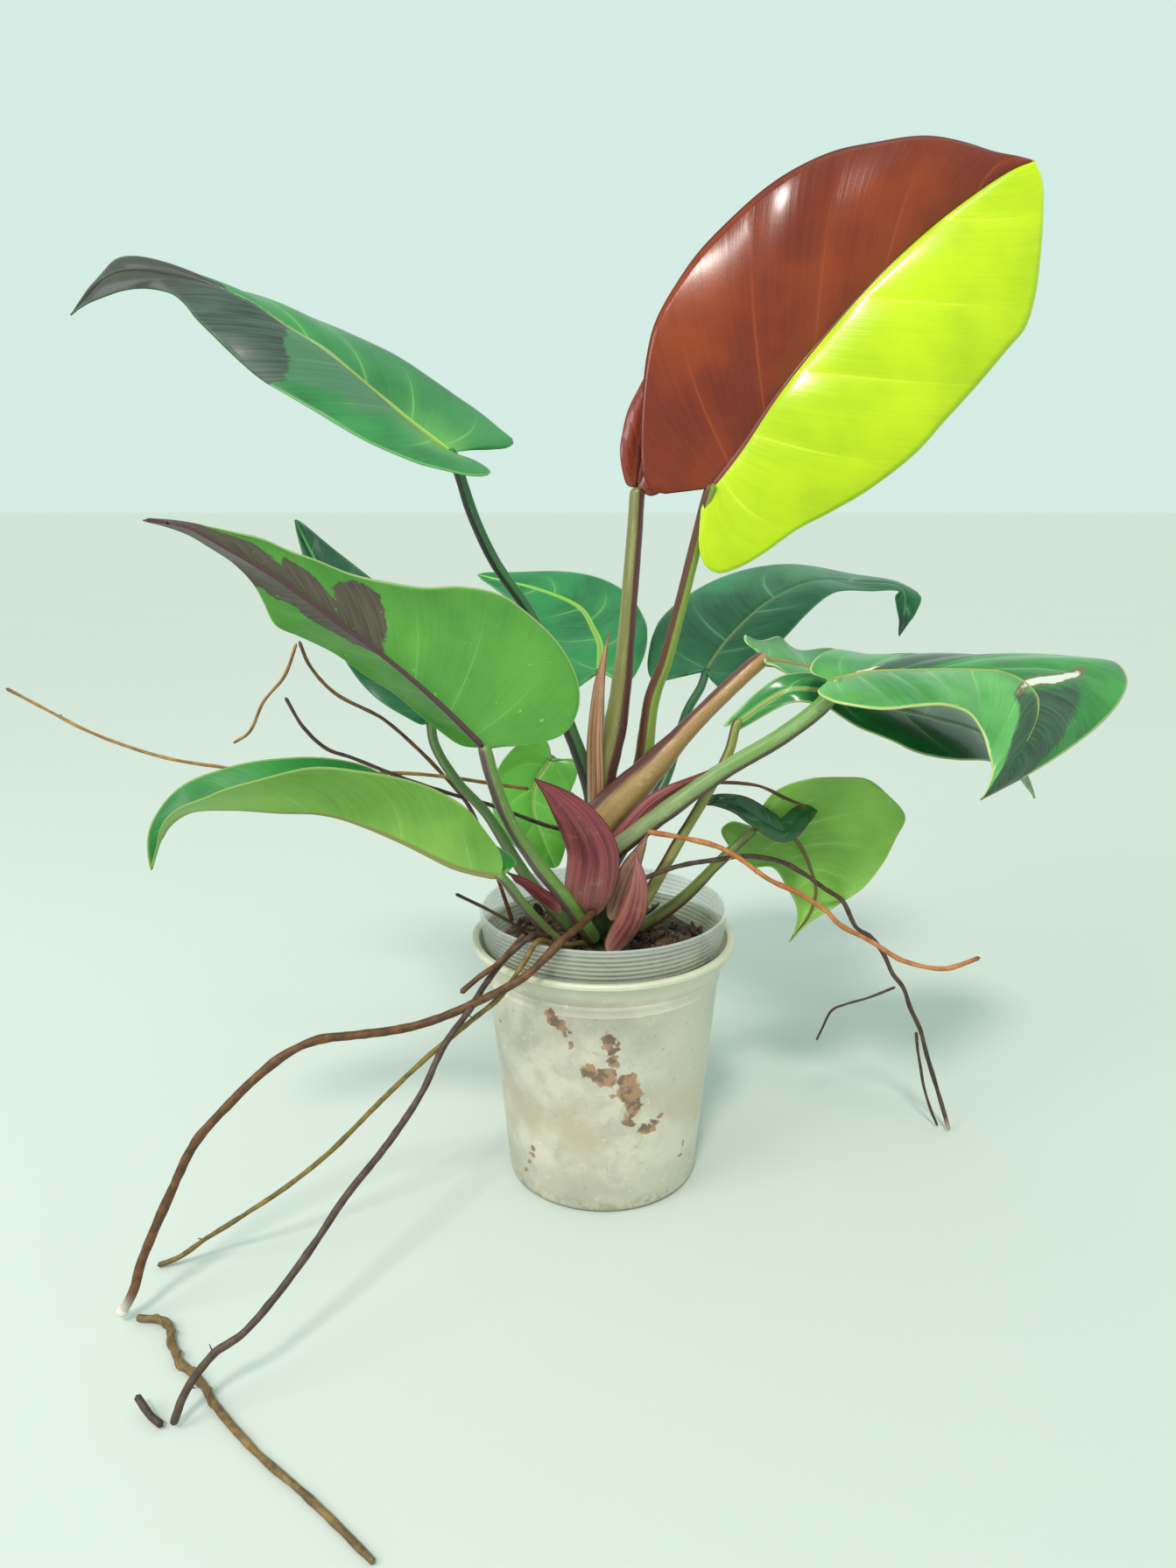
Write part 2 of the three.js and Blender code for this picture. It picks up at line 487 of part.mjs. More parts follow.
function bladeGeometry(leaf) {
  const rib = curveThrough(leaf.rib);
  const length = rib.getLength();
  const lift = THREE.MathUtils.degToRad(leaf.lift ?? 0);
  const slant = 0.45; // the side veins run forward by this much for each step outward
  const edges = [leaf.left, leaf.right].map((half) => half.edge && curveThrough(half.edge));
  const bend = (half, t, out) => {
    const fold = THREE.MathUtils.degToRad(between(half.fold, t));
    const turn = THREE.MathUtils.degToRad(half.curl) / half.half;
    if (Math.abs(turn) < 1e-6) return [out * Math.cos(fold), out * Math.sin(fold), fold];
    const end = fold + turn * out;
    return [(Math.sin(end) - Math.sin(fold)) / turn, (Math.cos(fold) - Math.cos(end)) / turn, end];
  };
  return closeUp(matchDiagonals(new ParametricGeometry((u, v, target) => {
    const top = u < 0.5;
    const sweep = top ? 4 * u - 1 : 3 - 4 * u; // -1 is the left margin, 0 the rib, 1 the right margin
    const half = sweep < 0 ? leaf.left : leaf.right;
    const out = Math.abs(sweep);
    const angle = Math.PI * v;
    const edge = edges[sweep < 0 ? 0 : 1];
    const flat = [leaf.left, leaf.right].map((one) => (one.edge ? [0, length * v ** 1.6]
      : outline(leaf, one, length, angle)));
    const feet = flat.map(([reach, rise]) => THREE.MathUtils.clamp(rise - slant * reach, 0, length));
    const [across, along] = flat[sweep < 0 ? 0 : 1];
    const station = THREE.MathUtils.lerp((feet[0] + feet[1]) / 2, along, out);
    const t = THREE.MathUtils.clamp(station / length, 0, 1);
    const forward = rib.getTangentAt(t);
    const face = new THREE.Vector3(...[0, 1, 2].map((k) => between(leaf.up.map((d) => d[k]), t)));
    face.addScaledVector(forward, -face.dot(forward)).normalize();
    const side = forward.clone().cross(face).multiplyScalar(sweep < 0 ? -1 : 1);
    const arch = half.crown * 4 * out * (1 - out) * Math.sin(angle);
    const [sideways, rise, tilt] = edge ? [0, arch, 0] : bend(half, t, out * across);
    const thick = v > 0 && v < 1 ? (BLADE.thickness / 2) * (1 - out ** 3) : 0;
    target.copy(rib.getPointAt(t));
    const outward = edge ? edge.getPointAt(v ** half.pace).sub(target).normalize()
      : side.clone().multiplyScalar(Math.cos(tilt)).addScaledVector(face, Math.sin(tilt));
    const normal = face.clone().addScaledVector(outward, out > 0 ? -face.dot(outward) : 0).normalize();
    if (edge) target.lerp(edge.getPointAt(v ** half.pace), out);
    target.addScaledVector(forward, Math.min(station, 0) * Math.cos(lift));
    target.addScaledVector(side, sideways);
    target.addScaledVector(face, rise - Math.min(station, 0) * Math.sin(lift));
    target.addScaledVector(normal, top ? thick : -thick);
  }, BLADE.around, BLADE.along)));
}

// A whole leaf: its blade, with the rolled lobe where it has one.
function leafGeometry(leaf) {
  const blade = bladeGeometry(leaf);
  return leaf.roll ? geometryOf(solidOf(blade).add(solidOf(bladeGeometry(leaf.roll)))) : blade;
}

// The petiole stops just short of the blade.
function petioleRoute(leaf) {
  const curve = curveThrough(leaf.petiole);
  const stop = 1 - (leaf.widths[1] + 1.2) / curve.getLength();
  const points = [];
  const count = 8;
  for (let k = 0; k <= count; k += 1) points.push(curve.getPointAt((stop * k) / count).toArray());
  return points;
}

// ---- Pots and moss ----

const lathe = (profile) => closeUp(new THREE.LatheGeometry(
  profile.map(([r, z]) => new THREE.Vector2(r, z)), POT_SIDES).rotateX(Math.PI / 2));

function drained(geometry, low, high) {
  let solid = solidOf(geometry);
  for (let k = 0; k < DRAIN_HOLE.count; k += 1) {
    const angle = (2 * Math.PI * k) / DRAIN_HOLE.count;
    const drill = new THREE.CylinderGeometry(DRAIN_HOLE.radius, DRAIN_HOLE.radius, high - low + 4, 12);
    drill.rotateX(Math.PI / 2);
    drill.translate(DRAIN_HOLE.ring * Math.cos(angle), DRAIN_HOLE.ring * Math.sin(angle), (low + high) / 2);
    solid = solid.subtract(solidOf(drill));
  }
  return geometryOf(solid);
}

function outerPot() {
  const { foot, shoulder, lip, height, wall, base } = OUTER_POT;
  const step = height - COLLAR; // where the wall turns out into the collar
  const profile = [
    [0, 0], [foot - 3, 0], [foot - 1, 0.8], [foot, 3],
    [shoulder - 0.6, step - 8], [shoulder, step - 7], [shoulder - 0.4, step - 5.5], [shoulder, step - 4],
    [lip - 3.4, step + 1], [lip - 2.6, height - 3.2], [lip, height - 2.4], [lip, height],
    [lip - 3.2, height], [lip - 4.2, step + 2], [shoulder - wall, step - 3],
    [foot - wall, base + 2], [foot - 3, base], [0, base],
  ];
  return drained(lathe(profile), 0, base);
}

function innerPot() {
  const { foot, shoulder, rim, height, lift, wall, base } = INNER_POT;
  const band = height - RIM_BAND;
  const profile = [[0, lift], [foot - 2, lift], [foot, lift + 2.5], [shoulder, band - 12]];
  const ridges = 6;
  for (let k = 0; k < ridges; k += 1) {
    const z = band + (RIM_BAND * k) / ridges;
    const r = THREE.MathUtils.lerp(shoulder + 2, rim - 0.5, k / (ridges - 1));
    profile.push([r, z], [r + 0.45, z + 0.8], [r, z + 1.6]);
  }
  profile.push([rim, height - 0.8], [rim, height], [rim - wall - 0.4, height]);
  profile.push([shoulder - wall, band - 12], [foot - wall, lift + 3]);
  profile.push([foot - 2.5, lift + base], [0, lift + base]);
  return drained(lathe(profile), lift, lift + base);
}

// The moss fills the inner pot. Its top is lumpy.
function moss() {
  const { foot, shoulder, height, lift, wall, base } = INNER_POT;
  const low = lift + base + GAP;
  const low_r = foot - 3;
  const share = (MOSS.top - lift) / (height - lift);
  const top_r = THREE.MathUtils.lerp(foot, shoulder, share) - wall - MOSS.margin;
  const rings = 7;
  const profile = [[0, low], [low_r, low], [top_r, MOSS.top]];
  for (let k = rings - 1; k >= 0; k -= 1) profile.push([(top_r * k) / rings, MOSS.top]);
  const geometry = lathe(profile);
  const at = geometry.getAttribute('position');
  for (let i = 0; i < at.count; i += 1) {
    const [x, y, z] = [at.getX(i), at.getY(i), at.getZ(i)];
    const inside = Math.hypot(x, y) < top_r - 1;
    if (z < MOSS.top - 1 || !inside) continue;
    at.setZ(i, z + MOSS.lump * Math.sin(x / 4.3 + 1) * Math.cos(y / 5.1 - 0.4));
  }
  return closeUp(geometry);
}

// ---- Assembly ----

const plant = new THREE.Group();

function add(name, geometry, color, roughness = 0.5, extra = {}) {
  const material = new THREE.MeshStandardMaterial({ color, roughness, metalness: 0, ...extra });
  const mesh = new THREE.Mesh(geometry, material);
  mesh.name = name;
  plant.add(mesh);
}

add('outer_pot', outerPot(), '#e4e8e2', 0.35, { transparent: true, opacity: 0.6 });
add('inner_pot', innerPot(), '#eef2ee', 0.2, { transparent: true, opacity: 0.4 });
add('growing_moss', moss(), '#5c4a34', 0.95);
add('main_stem', taperedTube(STEM.route, STEM.radii), '#6a5a3c');

// Each tube is cut clear of the tubes that were there before it.
const grown = [solidOf(taperedTube(STEM.route, STEM.radii, GAP))];

for (const leaf of LEAVES) {
  const route = petioleRoute(leaf);
  const radii = leaf.widths.map((width) => width / 2);
  const tube = taperedTube(route, radii);
  add(`${leaf.name}_petiole`, clearOf(tube, grown), '#6f7f3c', 0.4);
  grown.push(solidOf(taperedTube(route, radii, GAP)));
  add(`${leaf.name}_leaf`, clearOf(leafGeometry(leaf), grown), leaf.color, 0.3);
}

for (const sheath of SHEATHS) {
  const blade = bladeGeometry({ point: 0.6, ...sheath });
  add(sheath.name, clearOf(blade, grown), sheath.color, 0.55);
}

for (const root of ROOTS) {
  add(root.name, clearOf(taperedTube(root.route, root.radii), grown), root.color, 0.7);
  grown.push(solidOf(taperedTube(root.route, root.radii, GAP)));
}

export default plant;
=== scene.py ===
"""A potted philodendron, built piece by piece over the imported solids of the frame."""

import math

import bpy
import numpy as np
from bpy.props import FloatProperty, FloatVectorProperty, IntProperty, PointerProperty
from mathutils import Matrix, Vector
from mathutils import noise as lumps


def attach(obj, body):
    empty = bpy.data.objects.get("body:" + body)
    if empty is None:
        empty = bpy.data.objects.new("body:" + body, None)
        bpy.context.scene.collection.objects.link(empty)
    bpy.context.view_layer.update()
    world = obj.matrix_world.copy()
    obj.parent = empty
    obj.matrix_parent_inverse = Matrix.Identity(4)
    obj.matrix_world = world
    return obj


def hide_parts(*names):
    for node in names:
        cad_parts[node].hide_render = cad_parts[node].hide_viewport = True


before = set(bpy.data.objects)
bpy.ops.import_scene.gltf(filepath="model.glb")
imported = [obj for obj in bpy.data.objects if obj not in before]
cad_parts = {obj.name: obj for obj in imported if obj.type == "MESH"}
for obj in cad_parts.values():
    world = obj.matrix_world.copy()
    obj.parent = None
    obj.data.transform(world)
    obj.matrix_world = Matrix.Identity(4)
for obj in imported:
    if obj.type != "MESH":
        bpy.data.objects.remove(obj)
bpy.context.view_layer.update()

bl_info = {
    "name": "Potted Philodendron",
    "version": (1, 0, 0),
    "blender": (4, 5, 0),
    "location": "View3D > Sidebar > Philodendron",
    "description": "Builds a philodendron in a clear pot nested in a frosted pot",
    "category": "Object",
}

MM = 0.001
BODY = "root"

# ---- Leaf, sheath and tube numbers ----
SLANT = 0.45  # the side veins run forward by this much for each step outward
SWEEP_POWER = 1.35  # above 1, it draws a blade's columns towards its rib
METRIC_WIDTH = 30.0  # millimetres from rib to margin, where marks are measured
FAR = 40.0  # millimetres: no mark is farther away than this
WELD = 0.00002  # metres
TURN_START = (0.3, -1, 0.2)  # the side of a tube where its seam starts
SHEATH_THICKNESS = 0.0005  # metres

# ---- Pot and moss numbers, in millimetres ----
DRAIN = {"ring": 24, "radius": 3.5, "count": 6}
OUTER_BASE = (-2, 3)  # the drain cuts run between these heights
INNER_BASE = (10, 14.2)
MOSS_REACH = 43.5  # chips lie this far out at most
MOSS_LEVEL = (101.6, 104.6)
CHIP_SIZES = (0.9, 2.6)

# ---- Seeds of the random draws ----
MOSS_SEED = 11
HAIR_SEED = 100

# ---- Stage: places in metres, angles in degrees ----
FLOOR_SIZE = 40
AIM = (0, 0, 0.2)  # the lights look at this place
SUN_PLACE = (-0.12, -0.75, 1.2)
SUN_ANGLE = 9
SUN_TINT = (1.0, 0.95, 0.88)
WINDOW_PLACE = (-0.75, -0.55, 0.75)
WINDOW_SIZE = 0.5
CAMERA_PLACE = (-0.0063, -0.439, 0.281)
CAMERA_TILT = 75.7
CAMERA_LENS = 25.93

# ---- Forms: a rib, a route or a margin is points in millimetres, right, away and up ----

def formed(wide, lobe, skew, fold, curl, spread=(1, 1)):
    """One half of a blade by its form. Reach and lobe are in millimetres, fold and curl in degrees."""
    return {"half": wide, "lobe": lobe, "skew": skew, "fold": fold, "curl": curl, "spread": spread}


def drawn(crown, pace, edge):
    """One half of a blade by the margin that it follows."""
    return {"crown": crown, "pace": pace, "edge": edge}


def leaf_plan(name, rib, left, right, **more):
    """A leaf. Its margins leave from the rib's foot and meet at its tip."""
    for side in (left, right):
        if "edge" in side:
            side["edge"] = [rib[0], *side["edge"], rib[-1]]
    return {"name": name, "rib": rib, "left": left, "right": right, **more}


def sheath_plan(name, rib, up, wide, fold, curl):
    """A sheath, alike on both sides of its rib."""
    side = formed(wide, 0, 1.2, fold, curl)
    return {"name": name, "rib": rib, "up": up, "left": side, "right": side, "point": 0.8}


def root_plan(name, radii, route):
    """A root, with its radii spread evenly along it."""
    return {"name": name, "radii": radii, "route": route}


LEAVES = [
    leaf_plan("tall_half_red", widths=[8, 5], point=0.3,
              rib=[[39, -9, 284], [50, -6, 298], [63, -3, 317], [76, 1, 333], [92, 4, 351],
                   [105, 7, 364], [120, 10, 377], [135, 12, 388], [148, 13, 396], [156, 14, 399]],
              up=[[0.02, -1, 0.17], [-0.05, -1, 0.17]],
              left=drawn(5, 0.65, [[32, -10, 283], [24, -12, 282], [18, -14, 282], [14, -13, 288],
                  [13, -11, 297], [13, -9, 311], [15, -5, 331], [18, -3, 342], [26, 0, 356],
                  [34, 2, 367], [45, 4, 378], [56, 6, 387], [69, 8, 395], [84, 10, 402], [99, 11, 405],
                  [115, 13, 406.5], [130, 14, 405], [142, 14, 402], [150, 14, 400.5]]),
              right=drawn(4, 0.7, [[36, -10, 279], [35, -10, 271], [35, -11, 262], [37, -11, 256],
                  [42, -11, 253], [50, -10, 255], [59, -9, 260], [72, -7, 269], [84, -5, 275],
                  [98, -4, 283], [115, -2, 296], [126, 0, 308], [138, 2, 321], [149, 4, 334],
                  [155, 6, 341], [158, 8, 351], [159, 9, 365], [160, 12, 380], [159, 13, 392]]),
              petiole=[[15, 5, 174], [19, 3, 203], [24, 0, 219], [30, -3, 244], [35, -6, 267],
                       [39, -9, 284]]),
    leaf_plan("young_red", widths=[11, 6.5], point=0.5,
              rib=[[13, 15, 284], [15, 18, 296], [17, 20, 310], [20, 22, 323], [22, 24, 334]],
              up=[[0.1, -1, 0.15], [0.1, -1, 0.15]],
              left=drawn(3, 0.8, [[9, 14, 285], [7, 13, 290], [6, 14, 298], [7, 16, 305], [9, 18, 313],
                  [13, 20, 321], [17, 22, 328]]),
              right=drawn(3, 0.8, [[18, 15, 281], [24, 16, 284], [29, 18, 293], [30, 20, 306],
                  [28, 22, 319], [25, 23, 329]]),
              petiole=[[0, 1, 173], [4, 3, 189], [7, 5, 209], [10, 9, 243], [12, 13, 268],
                       [13, 15, 284]]),
    leaf_plan("behind_right", widths=[17, 7.5], point=0.6, lift=20,
              rib=[[63, 5, 219], [76, 14, 216], [93, 28, 211], [117, 44, 207], [143, 56, 206],
                   [164, 62, 204]],
              up=[[0, -0.6, 1], [0.1, -0.1, 1]],
              left=formed(22, 8, 1.3, [5, 0], 0),
              right=formed(20, 8, 1.3, [0, 0], 20),
              petiole=[[0, -8, 158], [17, -8, 176], [38, -4, 198], [58, 2, 216], [63, 5, 219]]),
    leaf_plan("drooping_right", widths=[8.5, 7],
              rib=[[82, -31, 216], [97, -24, 218], [118, -18, 218], [137, -16, 218], [151, -19, 217],
                   [158, -27, 212], [156, -38, 205], [149, -47, 196], [140, -54, 186], [131, -58, 178]],
              up=[[0, -0.25, 1], [0, -0.25, 1], [0, -0.3, 1], [0.1, -0.8, 0.5], [0.3, -0.9, 0.2]],
              left=drawn(2, 1, [[76, -24, 218], [80, -14, 222], [89, -4, 224], [105, 4, 221],
                  [129, 10, 220], [156, 15, 219], [182, 17, 219], [195, 12, 218], [202, 5, 217],
                  [203, -4, 212], [197, -14, 206], [186, -24, 199], [169, -36, 191], [153, -46, 185],
                  [138, -54, 180]]),
              right=drawn(2, 0.65, [[76, -38, 213], [80, -46, 211], [88, -49, 210], [97, -50, 209],
                  [108, -48, 209], [120, -46, 210], [128, -44, 207], [133, -45, 201], [135, -50, 194],
                  [135, -55, 187]]),
              petiole=[[2, -14, 144], [23, -20, 163], [45, -25, 181], [67, -29, 196], [82, -31, 210],
                       [84, -30, 217]]),
    leaf_plan("twisted_right", widths=[5.5, 4], point=0.8,
              rib=[[51, -14, 197], [63, -14, 206], [71, -14, 210], [84, -12, 209], [97, -8, 204],
                   [112, -2, 201], [133, 4, 195], [153, 10, 188], [171, 16, 175], [182, 20, 158]],
              up=[[0.4, -1, 0.6], [0, -0.5, 1], [0, -0.3, 1], [0.1, -0.3, 1], [0.2, -0.4, 1]],
              left=formed(33, 12, 1, [0, 5], 0, spread=[0.15, 0.3, 0.9, 1, 1]),
              right=formed(28, 12, 1, [-15, -10], -10, spread=[0.15, 0.3, 1, 1, 1]),
              petiole=[[5, -10, 104], [18, -12, 127], [30, -13, 150], [41, -15, 171], [48, -15, 186],
                       [51, -14, 197]]),
    leaf_plan("back_right", widths=[5, 4], point=0.75,
              rib=[[46, 60, 206], [57, 75, 218], [79, 95, 234], [102, 108, 242], [126, 114, 241],
                   [146, 114, 238], [147, 112, 227], [145, 112, 215]],
              up=[[-0.1, -0.5, 0.85], [0, -0.2, 1], [0, -0.1, 1]],
              left=formed(38, 16, 1.7, [5, 0], 0),
              right=formed(22, 8, 1.5, [-5, -5], -10),
              petiole=[[14, 10, 150], [26, 20, 166], [36, 38, 191], [43, 50, 200], [46, 60, 205]]),
    leaf_plan("upper_left", widths=[6.5, 4.5], point=0.9,
              rib=[[-55, -20, 296], [-67, -18, 305], [-78, -16, 314], [-91, -15, 325], [-102, -13, 333],
                   [-112, -12, 339], [-121, -11, 345], [-131, -10, 350], [-143, -9, 354],
                   [-154, -8, 356.5], [-163, -7, 358], [-172, -6, 358], [-179, -6, 355], [-185, -5, 350],
                   [-192, -5, 344]],
              up=[[0.25, -0.6, 0.75], [0.2, -0.5, 0.9], [0, -0.5, 0.9], [-0.1, -0.6, 0.7]],
              left=drawn(3, 0.75, [[-48, -25, 294], [-42, -30, 291], [-40, -34, 289], [-43, -37, 288],
                  [-49, -38, 288.5], [-55, -39, 290], [-63, -40, 292], [-71, -40, 295], [-81, -40, 299],
                  [-91, -39, 304], [-101, -37, 310], [-109, -35, 315], [-117, -33, 320],
                  [-125, -30, 326], [-134, -26, 333], [-142, -21, 340], [-147, -17, 346],
                  [-152, -14, 350], [-160, -11, 352], [-169, -10, 351.5], [-179, -8, 349],
                  [-186, -6, 347]]),
              right=drawn(3, 0.75, [[-49, -13, 297], [-42, -6, 297.5], [-36, -1, 298.5], [-34, 3, 301],
                  [-39, 5, 305.5], [-47, 7, 312], [-56, 8, 318], [-67, 9, 325], [-78, 10, 331.5],
                  [-89, 11, 337], [-100, 12, 342.5], [-111, 12, 347], [-121, 11, 350.5], [-131, 9, 353],
                  [-141, 7, 355], [-149, 5, 357.5], [-157, 3, 360.5], [-164, 1, 363.5],
                  [-170, -1, 364.5], [-175, -2, 363], [-180, -3, 358], [-186, -4, 351.5]]),
              petiole=[[-6, -2, 170], [-10, -4, 183], [-15, -6, 197], [-26, -10, 234], [-41, -14, 258],
                       [-48, -17, 274], [-55, -20, 296]]),
    leaf_plan("left_turned", widths=[7, 5.5], point=0.9,
              rib=[[-43, -50, 195], [-57, -55, 211], [-73, -60, 227], [-88, -65, 240], [-106, -70, 255],
                   [-122, -75, 266], [-132, -78, 272], [-144, -80, 274]],
              up=[[-0.3, 0.85, -0.1], [-0.3, 0.85, -0.1]],
              left=drawn(3, 0.7, [[-26, -44, 195], [-15, -40, 198], [-10, -37, 206], [-10, -36, 216],
                  [-16, -37, 229], [-26, -39, 240], [-37, -42, 248], [-50, -46, 251], [-62, -50, 251],
                  [-73, -54, 253], [-85, -57, 256], [-96, -61, 261], [-104, -63, 264], [-112, -66, 268],
                  [-120, -68, 270], [-128, -72, 272], [-136, -76, 273.5]]),
              right=drawn(2, 1.2, [[-51, -46, 195], [-63, -43, 203], [-74, -43, 213], [-85, -46, 221],
                  [-95, -48, 229], [-105, -52, 235], [-112, -55, 239], [-115, -57, 247],
                  [-117, -60, 253], [-122, -63, 260], [-128, -68, 265.5], [-133, -72, 269.5],
                  [-139, -76, 272.3]]),
              petiole=[[-8, -18, 116], [-15, -26, 130], [-27, -34, 149], [-36, -42, 168],
                       [-41, -48, 186], [-43, -50, 195]]),
    leaf_plan("low_left", widths=[5, 4], point=0.85,
              rib=[[-38, -52, 148], [-53, -56, 153], [-69, -58, 162], [-85, -60, 170], [-98, -60, 174],
                   [-114, -61, 175], [-131, -61, 176], [-145, -62, 175], [-154, -62, 168],
                   [-160, -62, 154]],
              up=[[0, 0.1, 1], [0, 0, 1], [0, -0.3, 1], [0, -0.5, 0.9]],
              left=formed(28, 0, 1.1, [75, 65, 30], 0),
              right=formed(28, 12, 1.1, [30, 30], 0),
              petiole=[[-14, -20, 106], [-22, -30, 118], [-30, -42, 133], [-38, -52, 148]]),
    leaf_plan("hidden_left", widths=[5.5, 4.2], point=0.7,
              rib=[[-69, 0, 199], [-84, 2, 213], [-98, 5, 232], [-111, 10, 253], [-121, 15, 272]],
              up=[[-0.3, -0.5, 0.7], [-0.3, -0.5, 0.7]],
              left=formed(12, 4, 1.5, [10, 10], 0),
              right=formed(24, 8, 1.5, [10, 10], 0),
              petiole=[[-12, -8, 109], [-31, -8, 133], [-47, -6, 159], [-58, -4, 171], [-67, -2, 186],
                       [-69, 0, 199]]),
    leaf_plan("back_left", widths=[5.5, 4.2], point=0.7,
              rib=[[-1, 60, 206], [-1, 72, 216], [-4, 84, 222], [-10, 98, 230], [-28, 112, 237],
                   [-60, 120, 244]],
              up=[[-0.1, -0.5, 0.9], [-0.2, -0.5, 0.9]],
              left=formed(26, 10, 1.3, [-10, -10], 0),
              right=formed(26, 10, 1.3, [0, 0], 0),
              petiole=[[1, 12, 117], [1, 25, 146], [-1, 40, 173], [-1, 52, 194], [-1, 60, 206]]),
    leaf_plan("small_back", widths=[4, 3], point=0.5,
              rib=[[-23, 56, 166], [-29, 54, 158], [-31, 52, 146], [-27, 50, 132], [-21, 50, 117]],
              up=[[-0.1, -1, 0.2], [-0.1, -1, 0.1]],
              left=formed(20, 8, 1.3, [5, 5], 0),
              right=formed(20, 8, 1.3, [5, 5], 0),
              petiole=[[-2, 15, 106], [-8, 40, 125], [-15, 62, 147], [-19, 63, 160], [-23, 58, 167]]),
    leaf_plan("low_right", widths=[6, 4.5], point=0.6,
              rib=[[61, 0, 150], [71, 4, 149], [80, 8, 143], [87, 12, 130], [90, 13, 118], [86, 12, 106],
                   [79, 10, 97]],
              up=[[0, 1, 0.1], [0.1, 1, 0.1]],
              left=drawn(2, 1.05, [[53, 6, 152], [49, 10, 147], [53, 11, 139], [61, 11, 131],
                  [71, 10, 130], [77, 10, 122], [82, 11, 112], [82, 11, 104]]),
              right=drawn(3, 0.8, [[64, 3, 158], [70, 5, 165], [82, 5, 170], [97, 4, 171], [107, 3, 170],
                  [115, 2, 164], [122.5, 3, 155], [120, 4, 146], [116, 5, 134], [109, 7, 123],
                  [101, 9, 116], [95, 10, 111], [87, 10.5, 105]]),
              roll=dict(point=0.4,
                        rib=[[88, 8, 158], [80, -1, 156], [72, -8, 152], [61, -11, 158], [53, -11, 163],
                             [44, -10, 165], [37, -8, 163]],
                        up=[[0, -1, 0.5], [0, -1, 0.6], [0, -1, 0.7], [0, -1, 0.6]],
                        left=formed(5, 0, 1, [0, 0], 0),
                        right=formed(6, 0, 1, [0, 0], 0)),
              petiole=[[14, 4, 105], [33, 2, 120], [47, 0, 136], [61, 0, 150]]),
]

SHEATHS = [
    sheath_plan("tall_sheath", [[-4, -9, 172], [-4, -9, 191], [-2, -6, 211], [2, -3, 230]],
                [[0.4, 1, 0], [0.4, 1, 0]], 4.5, [20, 10], 40),
    sheath_plan("right_sheath", [[5, -16, 150], [18, -19, 166], [30, -22, 175], [42, -26, 182]],
                [[0, 1, 0.4], [0, 1, 0.4]], 4, [10, 10], 20),
    sheath_plan("front_sheath", [[-7, -27, 128], [-5, -30, 148], [-10, -33, 162], [-18, -35, 173],
                [-26, -38, 181]],
                [[0.1, 1, 0.1], [0.2, 1, -0.3]], 9, [10, 0], 50),
    sheath_plan("small_left_sheath", [[-17, -26, 124], [-27, -31, 135], [-37, -37, 145]],
                [[0.1, 1, 0.6], [0.1, 1, 0.6]], 4, [10, 0], 40),
    sheath_plan("right_low_sheath", [[3, -18, 118], [9, -21, 137], [17, -23, 156]],
                [[0, 1, 0.1], [0, 1, 0.1]], 5, [10, 0], 40),
    sheath_plan("front_low_sheath", [[2, -22, 106], [10, -27, 121], [13, -29, 136], [12, -27, 150]],
                [[0.1, 1, 0.1], [0.1, 1, 0.1]], 6, [10, 0], 40),
]

